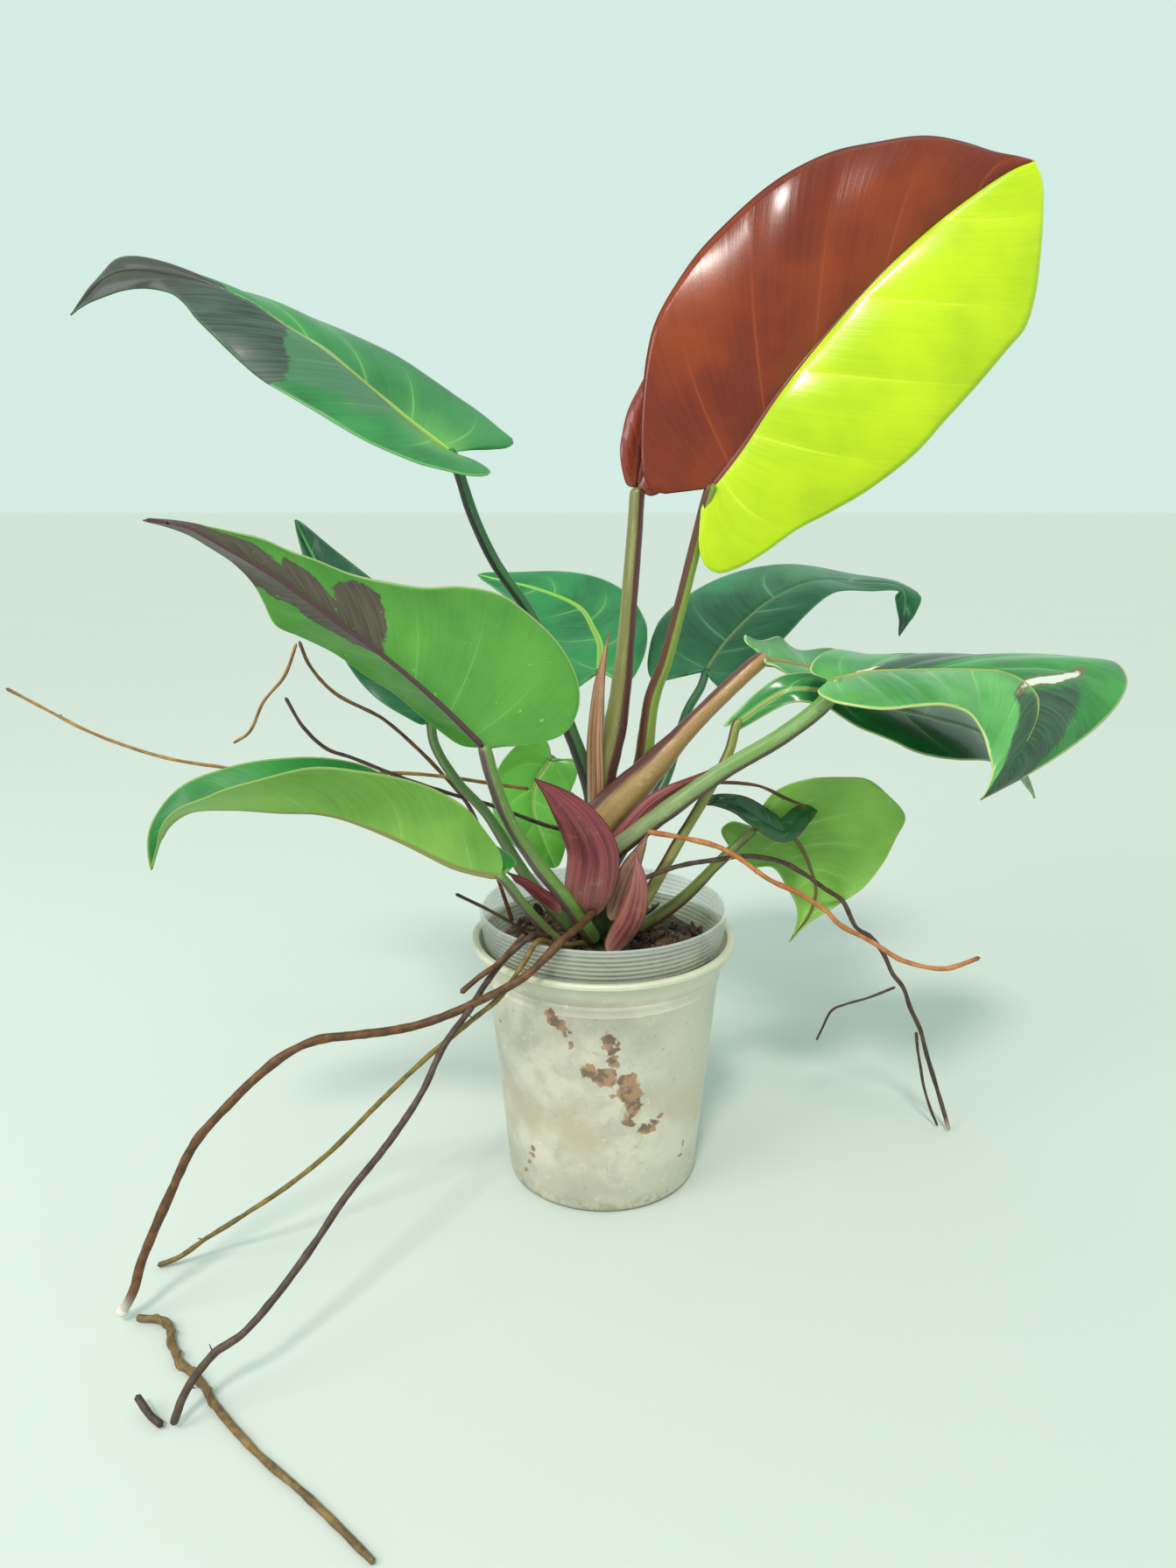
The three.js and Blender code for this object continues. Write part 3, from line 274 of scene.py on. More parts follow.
ROOTS = [
    root_plan("thick_left_root", [1.5, 1.7], [[-5, -27, 124], [-10, -36, 122], [-16, -47, 121],
              [-29, -56, 111], [-46, -58, 102], [-63, -62, 96], [-75, -65, 94], [-88, -69, 94],
              [-102, -73, 94], [-112, -77, 91], [-121, -81, 85], [-131, -85, 76], [-143, -90, 63],
              [-150, -94, 49], [-156, -97, 36], [-162, -99, 22], [-165, -101, 12], [-170, -102, 3]]),
    root_plan("olive_left_root", [1.1, 0.9], [[-19, -36, 115], [-25, -45, 120], [-30, -51, 114],
              [-39, -55, 102], [-50, -57, 93], [-66, -60, 80], [-83, -63, 64], [-102, -66, 45],
              [-118, -68, 32], [-136, -70, 20], [-150, -71, 11], [-160, -72, 4], [-168, -73, 1.2]]),
    root_plan("dark_left_root", [1.2, 1.3], [[-21, -30, 116], [-28, -41, 120], [-36, -46, 115],
              [-44, -51, 106], [-50, -61, 99], [-58, -70, 90], [-65, -80, 77], [-75, -92, 65],
              [-88, -107, 53], [-96, -116, 43], [-108, -128, 30], [-116, -136, 24], [-123, -140, 21],
              [-128, -143, 16], [-132, -146, 10], [-135, -149, 1.8]]),
    root_plan("dark_left_root_end", [1.2, 1.2], [[-138, -149, 1.6], [-143, -146, 3], [-149, -141, 6]]),
    root_plan("floor_root", [1.4, 1], [[-165, -101, 1.6], [-153, -104, 2], [-149, -111, 1.6],
              [-143, -121, 1.6], [-133, -130, 1.6], [-124, -141, 1.5], [-107, -158, 1.4],
              [-85, -176, 1.3], [-64, -195, 1.2]]),
    root_plan("left_stub_root", [0.9, 1.1], [[-30, -40, 121], [-40, -50, 113], [-47, -54, 109],
              [-53, -58, 105]]),
    root_plan("hairy_stub_root", [0.8, 0.6], [[-28, -27, 113], [-34, -32, 121], [-43, -35, 128],
              [-56, -40, 137]]),
    root_plan("left_upper_root", [0.9, 0.7], [[-38, 6, 108], [-49, 7, 143], [-56, 8, 159],
              [-67, 10, 172], [-77, 12, 182], [-90, 14, 193], [-110, 18, 203], [-120, 20, 214],
              [-124, 21, 224]]),
    root_plan("left_upper_branch", [0.7, 0.6], [[-125, 21, 223], [-130, 18, 210], [-138, 13, 200],
              [-144, 11, 188], [-150, 8, 184]]),
    root_plan("left_middle_root", [0.9, 0.7], [[-14, 11, 146], [-24, 10, 149], [-47, 6, 159],
              [-59, 4, 163], [-79, 0, 171], [-100, -4, 181], [-109, -6, 185], [-117, -8, 194],
              [-123, -9, 206]]),
    root_plan("long_thin_left_root", [0.8, 0.6], [[-30, 4, 166], [-79, 2, 173], [-126, 0, 172],
              [-145, 0, 175], [-171, 0, 179], [-188, 0, 184], [-205, 0, 191], [-221, 0, 200],
              [-235, 0, 208]]),
    root_plan("orange_right_root", [1, 0.9], [[16, -26, 157], [29, -27, 155], [42, -28, 152],
              [50, -28, 148], [63, -30, 139], [74, -31, 134], [85, -32, 127], [90, -33, 122],
              [103, -34, 115], [113, -36, 109], [124, -37, 106], [131, -38, 106], [143, -39, 111]]),
    root_plan("dark_right_root", [1, 1], [[15, -20, 136], [30, -16, 140], [44, -12, 141], [57, -7, 141],
              [72, -2, 137], [82, 1, 131], [92, 5, 123], [100, 7, 117], [108, 11, 103], [114, 12, 99],
              [121, 15, 90], [126, 16, 80], [132, 19, 72], [136, 20, 62], [142, 22, 50], [146, 24, 38],
              [151, 25, 24], [155, 24, 12], [158, 20, 1.3]]),
    root_plan("dark_right_branch", [0.7, 0.6], [[141, 25, 48], [143, 27, 38], [145, 27, 29],
              [147, 27, 20], [151, 26, 8], [154, 24, 1]]),
    root_plan("dark_right_twig", [0.6, 0.5], [[129, 20, 72], [118, 22, 66], [109, 24, 62], [103, 26, 58],
              [99, 27, 48], [97, 28, 42]]),
    root_plan("short_right_root", [0.8, 0.6], [[40, 2, 169], [49, -1, 170], [62, -3, 169], [73, -4, 164],
              [81, -5, 161]]),
]

# ---- Leaf finishes: each side is deep, bright, vein ----
GREEN_UNDER = ("#4a8a3c", "#68a850", "#8cc468")
LOOKS = {
    "tall_half_red": {
        "upper": ("#702006", "#923608", "#a84818"), "upper_right": ("#b0cc00", "#c8e000", "#e0f038"),
        "lower": ("#8a4430", "#a0604a", "#b87c60"), "lower_right": ("#a8cc30", "#bcdc50", "#d4f080"),
        "rib": ("#6c1c14", "#8a4438"), "rib_width": 1.1, "margin": "#5c160e", "margin_right": "#d8f468",
        "veins": 5.5, "vein": 0.5, "silk": 0.25, "gloss": 0.22, "swell": 1.1, "coat": 0.4, "grain": 1.4,
        "heart": 0.15, "ruffles": [(1.2, 2.6, 0.2, 1), (1.4, 3.4, 0.6, -1)], "slot": "variegated_leaf",
    },
    "young_red": {
        "upper": ("#64201a", "#94382a", "#b05a40"), "lower": ("#84463a", "#a0604e", "#b87c66"),
        "rib": ("#4c1616", "#8a4438"), "margin": "#7a2c22", "gloss": 0.22, "coat": 0.5, "swell": 0.25,
        "ruffles": [(0.3, 1.6, 0.2, 0)], "slot": "red_leaf",
    },
    "behind_right": {
        "upper": ("#2a7038", "#54a050", "#90c070"), "lower": GREEN_UNDER, "rib": ("#90c070", "#a08850"),
        "margin": "#d0d89a", "margin_width": 1.4, "ruffles": [(2.0, 5.5, 0.2, 0)], "slot": "green_leaf",
    },
    "drooping_right": {
        "upper": ("#206e2c", "#409a40", "#84c46c"), "upper_right": ("#347e3c", "#68b060", "#98d080"),
        "lower": ("#24683a", "#367c48", "#5c9c5c"), "rib": ("#8cc860", "#98a058"), "rib_width": 1.2,
        "margin": "#c6cf80", "margin_width": 1.3, "margin_share": 0.9, "veins": 8, "swell": 0.9,
        "gloss": 0.24, "coat": 0.4, "ruffles": [(0.6, 3.2, 0.3, 0)],
        "patch": [
            [(0.0, 0.17), (-0.12, 0.26), (-0.45, 0.30), (-1.1, 0.33), (-1.1, 0.48), (-0.6, 0.48),
             (0.0, 0.47)],
            [(0.3, 0.69), (0.05, 0.72), (-0.3, 0.70), (-0.6, 0.66), (-0.6, 0.72), (-0.66, 0.78), (-0.8, 0.87),
             (-1.1, 0.93), (-1.1, 1.05), (0.95, 1.05), (0.8, 0.93), (0.66, 0.8), (0.45, 0.74)],
        ],
        "patch_colours": ("#22402a", "#3c5e42", "#2c4834", "#466048"), "patch_soft": 2.5,
        "scar": [
            [(0.27, 0.7), (0.05, 0.7), (-0.3, 0.67), (-0.68, 0.62), (-0.55, 0.662), (-0.3, 0.7),
             (0.0, 0.716)],
            [(-0.06, 0.2), (-0.14, 0.26), (-0.16, 0.29), (0.0, 0.27), (0.02, 0.22)],
        ],
        "scar_colours": ("#6c6440", "#d8dace"), "rib_share": 0.55, "slot": "patched_leaf",
    },
    "twisted_right": {
        "upper": ("#165a2c", "#2e8440", "#78b864"), "lower": GREEN_UNDER, "rib": ("#84b864", "#98a058"),
        "margin": "#a0b070", "gloss": 0.24, "coat": 0.4, "slot": "green_leaf",
    },
    "back_right": {
        "upper": ("#1c5a3a", "#3a8458", "#7cb488"), "lower": ("#3a7058", "#54906c", "#78ac84"),
        "rib": ("#6ca070", "#88945c"), "margin": "#5c8c60", "gloss": 0.3, "rib_width": 1.0,
        "patch": [[(-1.1, 0.9), (1.1, 0.86), (1.1, 1.05), (-1.1, 1.05)]],
        "patch_colours": ("#33443c", "#4c5c50", "#5c5448", "#7c7464"), "slot": "green_leaf",
    },
    "upper_left": {
        "upper": ("#206a34", "#3c8a4c", "#84c468"), "lower": GREEN_UNDER, "rib": ("#a4d850", "#98a058"),
        "margin": "#7ab46c", "gloss": 0.36, "heart": 0.6, "veins": 6.5,
        "patch": [[(0.02, 0.6), (-0.35, 0.55), (-0.55, 0.5), (-0.7, 0.45), (-0.85, 0.42), (-1.1, 0.43),
                   (-1.1, 1.05), (1.1, 1.05), (1.1, 0.735), (0.4, 0.72), (0.02, 0.71)]],
        "soft": [[(0.0, 0.6), (0.0, 0.3), (-0.35, 0.3), (-0.6, 0.28), (-0.6, 0.37), (-0.85, 0.42),
                  (-0.7, 0.45), (-0.55, 0.5), (-0.35, 0.55)]],
        "soft_colours": ("#40684e", "#5c8468"),
        "patch_colours": ("#2e3c34", "#485a4e", "#3c3c36", "#5c5850"), "tip_colour": "#3e3c36",
        "slot": "patched_leaf",
    },
    "left_turned": {
        "upper": ("#1c6030", "#368844", "#68ac5c"), "lower": ("#488a34", "#609e40", "#84c064"),
        "rib": ("#5c3038", "#583840"), "rib_width": 0.6, "ridge": 0.42, "margin": "#a4b878", "vein": 0.25,
        "halo": 0.08, "specks": 0.8, "heart": 0.1, "margin_width": 0.7, "swell": 0.3,
        "patch": [[(0.0, 0.525), (-0.4, 0.52), (-0.75, 0.52), (-0.88, 0.54), (-0.9, 0.58), (-0.65, 0.63),
                   (-0.4, 0.63), (-0.65, 0.67), (-0.8, 0.73), (-0.45, 0.745), (-0.75, 0.78), (-0.85, 0.87),
                   (-1.1, 0.9), (-1.1, 1.05), (1.1, 1.05), (1.1, 0.75), (0.85, 0.75), (0.35, 0.7),
                   (0.2, 0.58)]],
        "patch_colours": ("#3c463c", "#55604f", "#4a4238", "#5e5648"), "patch_soft": 0.0,
        "slot": "leaf_underside",
    },
    "low_left": {
        "upper": ("#1c642c", "#2f8438", "#64a850"), "lower": ("#689c3c", "#84b44c", "#a0d070"),
        "rib": ("#74aa58", "#8c8a50"), "ridge": 0.4, "margin": "#8ca858", "vein": 0.2, "halo": 0.08,
        "swell": 0.3, "slot": "leaf_underside",
    },
    "hidden_left": {
        "upper": ("#164830", "#2a6c44", "#4c8c5c"), "lower": GREEN_UNDER, "rib": ("#5c9c5c", "#88945c"),
        "margin": "#4c7850", "slot": "green_leaf",
    },
    "back_left": {
        "upper": ("#1a6038", "#30884c", "#78bc68"), "lower": GREEN_UNDER, "rib": ("#8cd048", "#98a058"),
        "rib_width": 2.2, "margin": "#5c9c5c", "slot": "green_leaf",
    },
    "small_back": {
        "upper": ("#4c9438", "#6cb848", "#98d068"), "lower": GREEN_UNDER, "rib": ("#98c868", "#98a058"),
        "margin": "#8cb460", "slot": "green_leaf",
    },
    "low_right": {
        "upper": ("#184c28", "#2c703c", "#5c9c54"), "lower": ("#6a9c3c", "#86b850", "#a8d878"),
        "rib": ("#5c9c5c", "#74603c"), "ridge": 0.4, "rib_width": 0.9, "margin": "#98b860", "vein": 0.3,
        "slot": "leaf_underside",
    },
    "roll": {
        "upper": ("#16381e", "#2a5c34", "#4c7c48"), "lower": ("#5ca43a", "#7cc450", "#a0dc74"),
        "rib": ("#20482a", "#7c5a30"), "margin": "#4c4030", "gloss": 0.18, "coat": 0.5, "swell": 0.3,
        "groove": 0.0, "slot": "green_leaf",
    },
}

# ---- Petiole finishes: edge faces one side, and inner leads the foot into the stem ----


def stalk_look(top, foot, pale, edge, facing, edge_from, inner=()):
    return {"top": top, "foot": foot, "pale": pale, "edge": edge, "facing": facing,
            "edge_from": edge_from, "inner": list(inner)}


STALKS = {
    "tall_half_red": stalk_look("#7c9430", "#8aa040", "#a8b860", "#5c1c24", (-1, -0.5, 0), 0.45,
                                [[1, -3, 140], [7, 2, 157]]),
    "young_red": stalk_look("#7c7840", "#848044", "#a8a468", "#54182a", (1, -0.35, 0), 0.45,
                            [[-2, 0, 145], [-1, 0, 160]]),
    "behind_right": stalk_look("#a87c4c", "#a48450", "#c8a878", "#54202c", (-0.7, -0.3, 0.8), 0.65,
                               [[-8, -5, 144]]),
    "drooping_right": stalk_look("#6c9444", "#808c60", "#a0b080", "#502030", (0.3, -0.4, -1), 0.6,
                                 [[-7, -8, 132]]),
    "twisted_right": stalk_look("#848a3c", "#8a8448", "#a8a868", "#5c3430", (-1, -0.2, 0.6), 0.7),
    "back_right": stalk_look("#2c6c40", "#3c6840", "#5c8c54", "#2c3828", (-1, -0.2, 0.6), 0.6,
                             [[1, 3, 128], [7, 6, 138]]),
    "upper_left": stalk_look("#2c6434", "#38683a", "#5c8c4c", "#2c1420", (-0.8, -0.6, 0), 0.5,
                             [[-2, 0, 148], [-4, -1, 160]]),
    "left_turned": stalk_look("#64883c", "#6c9040", "#90a860", "#6c4c58", (-1, -0.2, -0.3), 0.1,
                              [[-4, -8, 106]]),
    "low_left": stalk_look("#5c8038", "#748048", "#90a060", "#644048", (-0.6, -0.3, -1), 0.4),
    "hidden_left": stalk_look("#4c7438", "#5c7840", "#80985c", "#4c2c34", (-1, -0.3, 0), 0.6),
    "back_left": stalk_look("#4c7c3c", "#54783c", "#80985c", "#3c3028", (-1, -0.3, 0), 0.7, [[-2, 4, 106]]),
    "small_back": stalk_look("#64903c", "#60803c", "#88a060", "#3c4828", (-1, -0.3, 0), 0.8),
    "low_right": stalk_look("#6c8038", "#747844", "#98a060", "#5c3c34", (0, -0.3, -1), 0.4),
}
STEM_LOOK = stalk_look("#2c4c24", "#38482a", "#5c6c3c", "#24241c", (-1, -0.3, 0.4), 0.45)

# ---- Sheath finishes ----

def papery(deep, bright, tan, inside, edge, foot=0.3, wide=1.0, inner=()):
    return {"deep": deep, "bright": bright, "tan": tan, "inside": inside, "edge": edge, "foot": foot,
            "wide": wide, "inner": list(inner)}


SHEATH_LOOKS = {
    "tall_sheath": papery("#94583c", "#c49c78", "#dcc8a8", "#a8683c", "#6c2434",
                          inner=[[-3, -6, 145], [-4, -8, 158]]),
    "right_sheath": papery("#7c3440", "#a8605c", "#c49480", "#a87058", "#5c2430", inner=[[-4, -9, 138]]),
    "front_sheath": papery("#641c28", "#944048", "#cc9c88", "#94544c", "#501824", foot=0.45, wide=1.4,
                           inner=[[-6, -19, 120]]),
    "small_left_sheath": papery("#641c28", "#944048", "#c08c78", "#94544c", "#501824"),
    "right_low_sheath": papery("#845448", "#a88068", "#c4a080", "#94684c", "#6c3838"),
    "front_low_sheath": papery("#7c3c40", "#a8685c", "#c89c84", "#94684c", "#6c3838"),
}

# ---- Root finishes ----

def bark(deep, bright, pale, end):
    return {"deep": deep, "bright": bright, "pale": pale, "end": end, "end_share": 0.04, "inner": []}


BROWN = bark("#442810", "#744a24", "#98704c", "#583c28")
TAN = bark("#805828", "#b08848", "#ccac78", "#6c4c2c")
DARK = bark("#34241c", "#5c4434", "#84684c", "#44342c")
OLIVE = bark("#5c4a1c", "#8c7434", "#a8945c", "#5c4a28")
ORANGE = bark("#a0582c", "#c8844c", "#dcac7c", "#7c4828")
ROOT_LOOKS = {
    "thick_left_root": dict(BROWN, end="#dcd4c8", end_share=0.045, inner=[[-3, -8, 117], [-4, -18, 122]]),
    "olive_left_root": dict(OLIVE, inner=[[-6, -10, 106], [-13, -24, 110]]),
    "dark_left_root": dict(DARK, inner=[[-7, -8, 108], [-14, -19, 112]]),
    "dark_left_root_end": DARK,
    "floor_root": bark("#5c4424", "#8c7040", "#ac9468", "#6c5c34"),
    "left_stub_root": BROWN,
    "hairy_stub_root": DARK,
    "left_upper_root": BROWN,
    "left_upper_branch": TAN,
    "left_middle_root": DARK,
    "long_thin_left_root": TAN,
    "orange_right_root": ORANGE,
    "dark_right_root": dict(DARK, end="#b49c84", end_share=0.03),
    "dark_right_branch": DARK,
    "dark_right_twig": DARK,
    "short_right_root": BROWN,
}

# ---- Pots, as radius and height in millimetres ----
OUTER_PROFILE = [
    [0, 0], [36.5, 0], [38.6, 0.5], [39.8, 1.8], [40, 3], [41.2, 16], [47.9, 89], [48.5, 90], [48.1, 91.2],
    [48.5, 92.6], [48.9, 93.4], [48.7, 94.6], [49.6, 96], [51.1, 98.4], [51.9, 101.4], [52.6, 102.9],
    [53.8, 103.3], [54.5, 104.1], [54.5, 105.2], [53.8, 106], [52.2, 106], [51.3, 105.4], [50.3, 99],
    [47.5, 94], [46.9, 89], [39, 3.5], [37, 1.5], [0, 1.5],
]
INNER_BODY = [[0, 12], [35.5, 12], [37, 12.6], [37.5, 14.5], [42.2, 55], [46.8, 92], [48.4, 103]]
INNER_LINING = [[49.7, 118], [48.4, 105], [45.9, 92], [41.2, 55], [36.6, 15], [35, 13.2], [0, 13.2]]
RIDGE_SPAN = (104.0, 117.2)
RIDGE_RADII = (48.8, 50.5)
MOSS_PROFILE = [
    [0, 14.5], [33.8, 14.5], [35.6, 17], [44.6, 90], [45.6, 100.5], [43, 102.5], [30, 103], [0, 103],
]
STEM = {"points": [[-4, 2, 99], [-3, 1, 125], [0, 1, 148], [1, 1, 170]], "radii": [8.7, 7.6, 6.6, 4.2]}
# Tones of the frosted pot. The clear tone is painted light, for the pot's paler right side.
POT_TONES = {
    "pale": "#e4dcc8", "grey": "#bab4a6", "warm": "#d2bc9c", "foot": "#b0ae9c", "collar": "#d6d6bc",
    "speck": "#f0f0e2", "dirt": "#847c62", "clear": "#e6dfca", "stain": "#6a4630", "stain_pale": "#b4805a",
}
# Each stain is x, y, z and its radius, in millimetres.
STAINS = [
    (1.9, -47.2, 81, 4.1), (2.6, -46.7, 76, 3.4), (4, -46.2, 71, 3.4), (-6.5, -45.5, 67, 4.1),
    (-0.5, -45.6, 64, 5.5), (8, -44.6, 62, 4.3), (8.5, -44.1, 56, 6.7), (11, -43.2, 50, 5.0),
    (9.7, -42.7, 44, 3.4), (17.4, -39.6, 38, 3.8), (20, -38.5, 40.5, 2.2), (22.7, -37.3, 42.6, 1.8),
    (-20.2, -43.4, 88, 3.6), (-17.5, -44.2, 86, 3.8), (-15, -45.1, 83.6, 2.9), (-13.5, -45, 77.7, 1.7),
    (-28.9, -30.5, 24.6, 2.2), (-29.2, -29.8, 20.5, 1.9), (-29.8, -28.6, 16.5, 1.8), (-31, -26.9, 12.6, 2.0),
    (31.9, -27.1, 23.3, 1.8), (31.6, -26.4, 19, 1.6), (-42, -20, 84, 2.9), (-41, -20, 76, 2.4),
]

# ---- Curves ----

def unit(vectors):
    return vectors / np.maximum(np.linalg.norm(vectors, axis=-1, keepdims=True), 1e-9)


class Route:
    """A smooth curve through points, read by its share of the length."""

    def __init__(self, points, per_span=24):
        p = np.array(points, float)
        p = np.vstack([2 * p[0] - p[1], p, 2 * p[-1] - p[-2]])
        s = np.linspace(0, 1, per_span, endpoint=False)[:, None]
        spans = []
        for p0, p1, p2, p3 in zip(p, p[1:], p[2:], p[3:]):
            d0, d1, d2 = (max(np.linalg.norm(b - a), 1e-6) ** 0.5 for a, b in ((p0, p1), (p1, p2), (p2, p3)))
            t1 = d1 * ((p1 - p0) / d0 - (p2 - p0) / (d0 + d1) + (p2 - p1) / d1)
            t2 = d1 * ((p2 - p1) / d1 - (p3 - p1) / (d1 + d2) + (p3 - p2) / d2)
            spans.append((2 * s ** 3 - 3 * s ** 2 + 1) * p1 + (s ** 3 - 2 * s ** 2 + s) * t1
                         + (3 * s ** 2 - 2 * s ** 3) * p2 + (s ** 3 - s ** 2) * t2)
        self.points = np.vstack(spans + [p[-2:-1]])
        steps = np.linalg.norm(np.diff(self.points, axis=0), axis=1)
        self.reach = np.concatenate([[0], np.cumsum(steps)])
        self.length = self.reach[-1]

    def at(self, share):
        where = np.clip(share, 0, 1) * self.length
        return np.stack([np.interp(where, self.reach, self.points[:, k]) for k in range(3)], -1)

    def heading(self, share, step=0.02):
        return unit(self.at(np.minimum(share + step, 1)) - self.at(np.maximum(share - step, 0)))


def between(values, share):
    """Reads a list of evenly spaced values, with its corners rounded."""
    stops = np.linspace(0, 1, len(values))
    blur = 0.4 / (len(values) - 1)
    reads = [np.interp(np.clip(share + blur * k, 0, 1), stops, values) for k in (-1, -0.5, 0, 0.5, 1)]
    return sum(reads) / len(reads)


# ---- Mesh helpers ----

def only(piece):
    bpy.ops.object.select_all(action="DESELECT")
    piece.select_set(True)
    bpy.context.view_layer.objects.active = piece


def settle(piece, name):
    """Names a new piece and leaves its place in its mesh."""
    piece.name = piece.data.name = name
    only(piece)
    bpy.ops.object.transform_apply(location=True, rotation=True, scale=True)
    return piece


def grid(name, across, along):
    """A grid primitive from -1 to 1 each way, with its corners as two arrays."""
    bpy.ops.object.select_all(action="DESELECT")
    bpy.ops.mesh.primitive_grid_add(x_subdivisions=across, y_subdivisions=along, size=2)
    piece = settle(bpy.context.object, name)
    flat = np.zeros(len(piece.data.vertices) * 3)
    piece.data.vertices.foreach_get("co", flat)
    flat = flat.reshape(-1, 3).round(6)
    return piece, flat[:, 0], flat[:, 1]


def note(piece, name, columns):
    """Keeps three numbers for each vertex, which the finish reads."""
    made = piece.data.attributes.new(name, "FLOAT_VECTOR", "POINT")
    made.data.foreach_set("vector", np.stack(columns, -1).astype(np.float32).ravel())


def noted(piece, name):
    """The numbers that note kept, as one row for each vertex."""
    kept = piece.data.attributes[name].data
    numbers = np.zeros(len(kept) * 3, np.float32)
    kept.foreach_get("vector", numbers)
    return numbers.reshape(-1, 3)


def renote(piece, name, numbers):
    piece.data.attributes[name].data.foreach_set("vector", numbers.ravel())


def place(piece, millimetres):
    piece.data.vertices.foreach_set("co", (millimetres * MM).ravel())
    piece.data.update()


def weld(piece, closed):
    """Merges what lies together. On a closed piece the faces are turned out."""
    only(piece)
    bpy.ops.object.mode_set(mode="EDIT")
    bpy.ops.mesh.select_all(action="SELECT")
    bpy.ops.mesh.remove_doubles(threshold=WELD)
    if closed:
        bpy.ops.mesh.normals_make_consistent(inside=False)
    bpy.ops.object.mode_set(mode="OBJECT")
    bpy.ops.object.shade_smooth()


def apply(piece, kind, **settings):
    only(piece)
    modifier = piece.modifiers.new(kind.title(), kind)
    for key, value in settings.items():
        setattr(modifier, key, value)
    bpy.ops.object.modifier_apply(modifier=modifier.name)


def finish_piece(piece, slot, paint, *nodes):
    piece.data.materials.clear()
    piece.data.materials.append(paint.material)
    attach(piece, BODY)
    if nodes:
        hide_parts(*nodes)
    return piece


# ---- Finishes ----

def tone(colour):
    """A colour written as #rrggbb, as the linear numbers that the shaders take."""
    parts = [int(colour[k:k + 2], 16) / 255 for k in (1, 3, 5)]
    return [c / 12.92 if c <= 0.04045 else ((c + 0.055) / 1.055) ** 2.4 for c in parts] + [1.0]


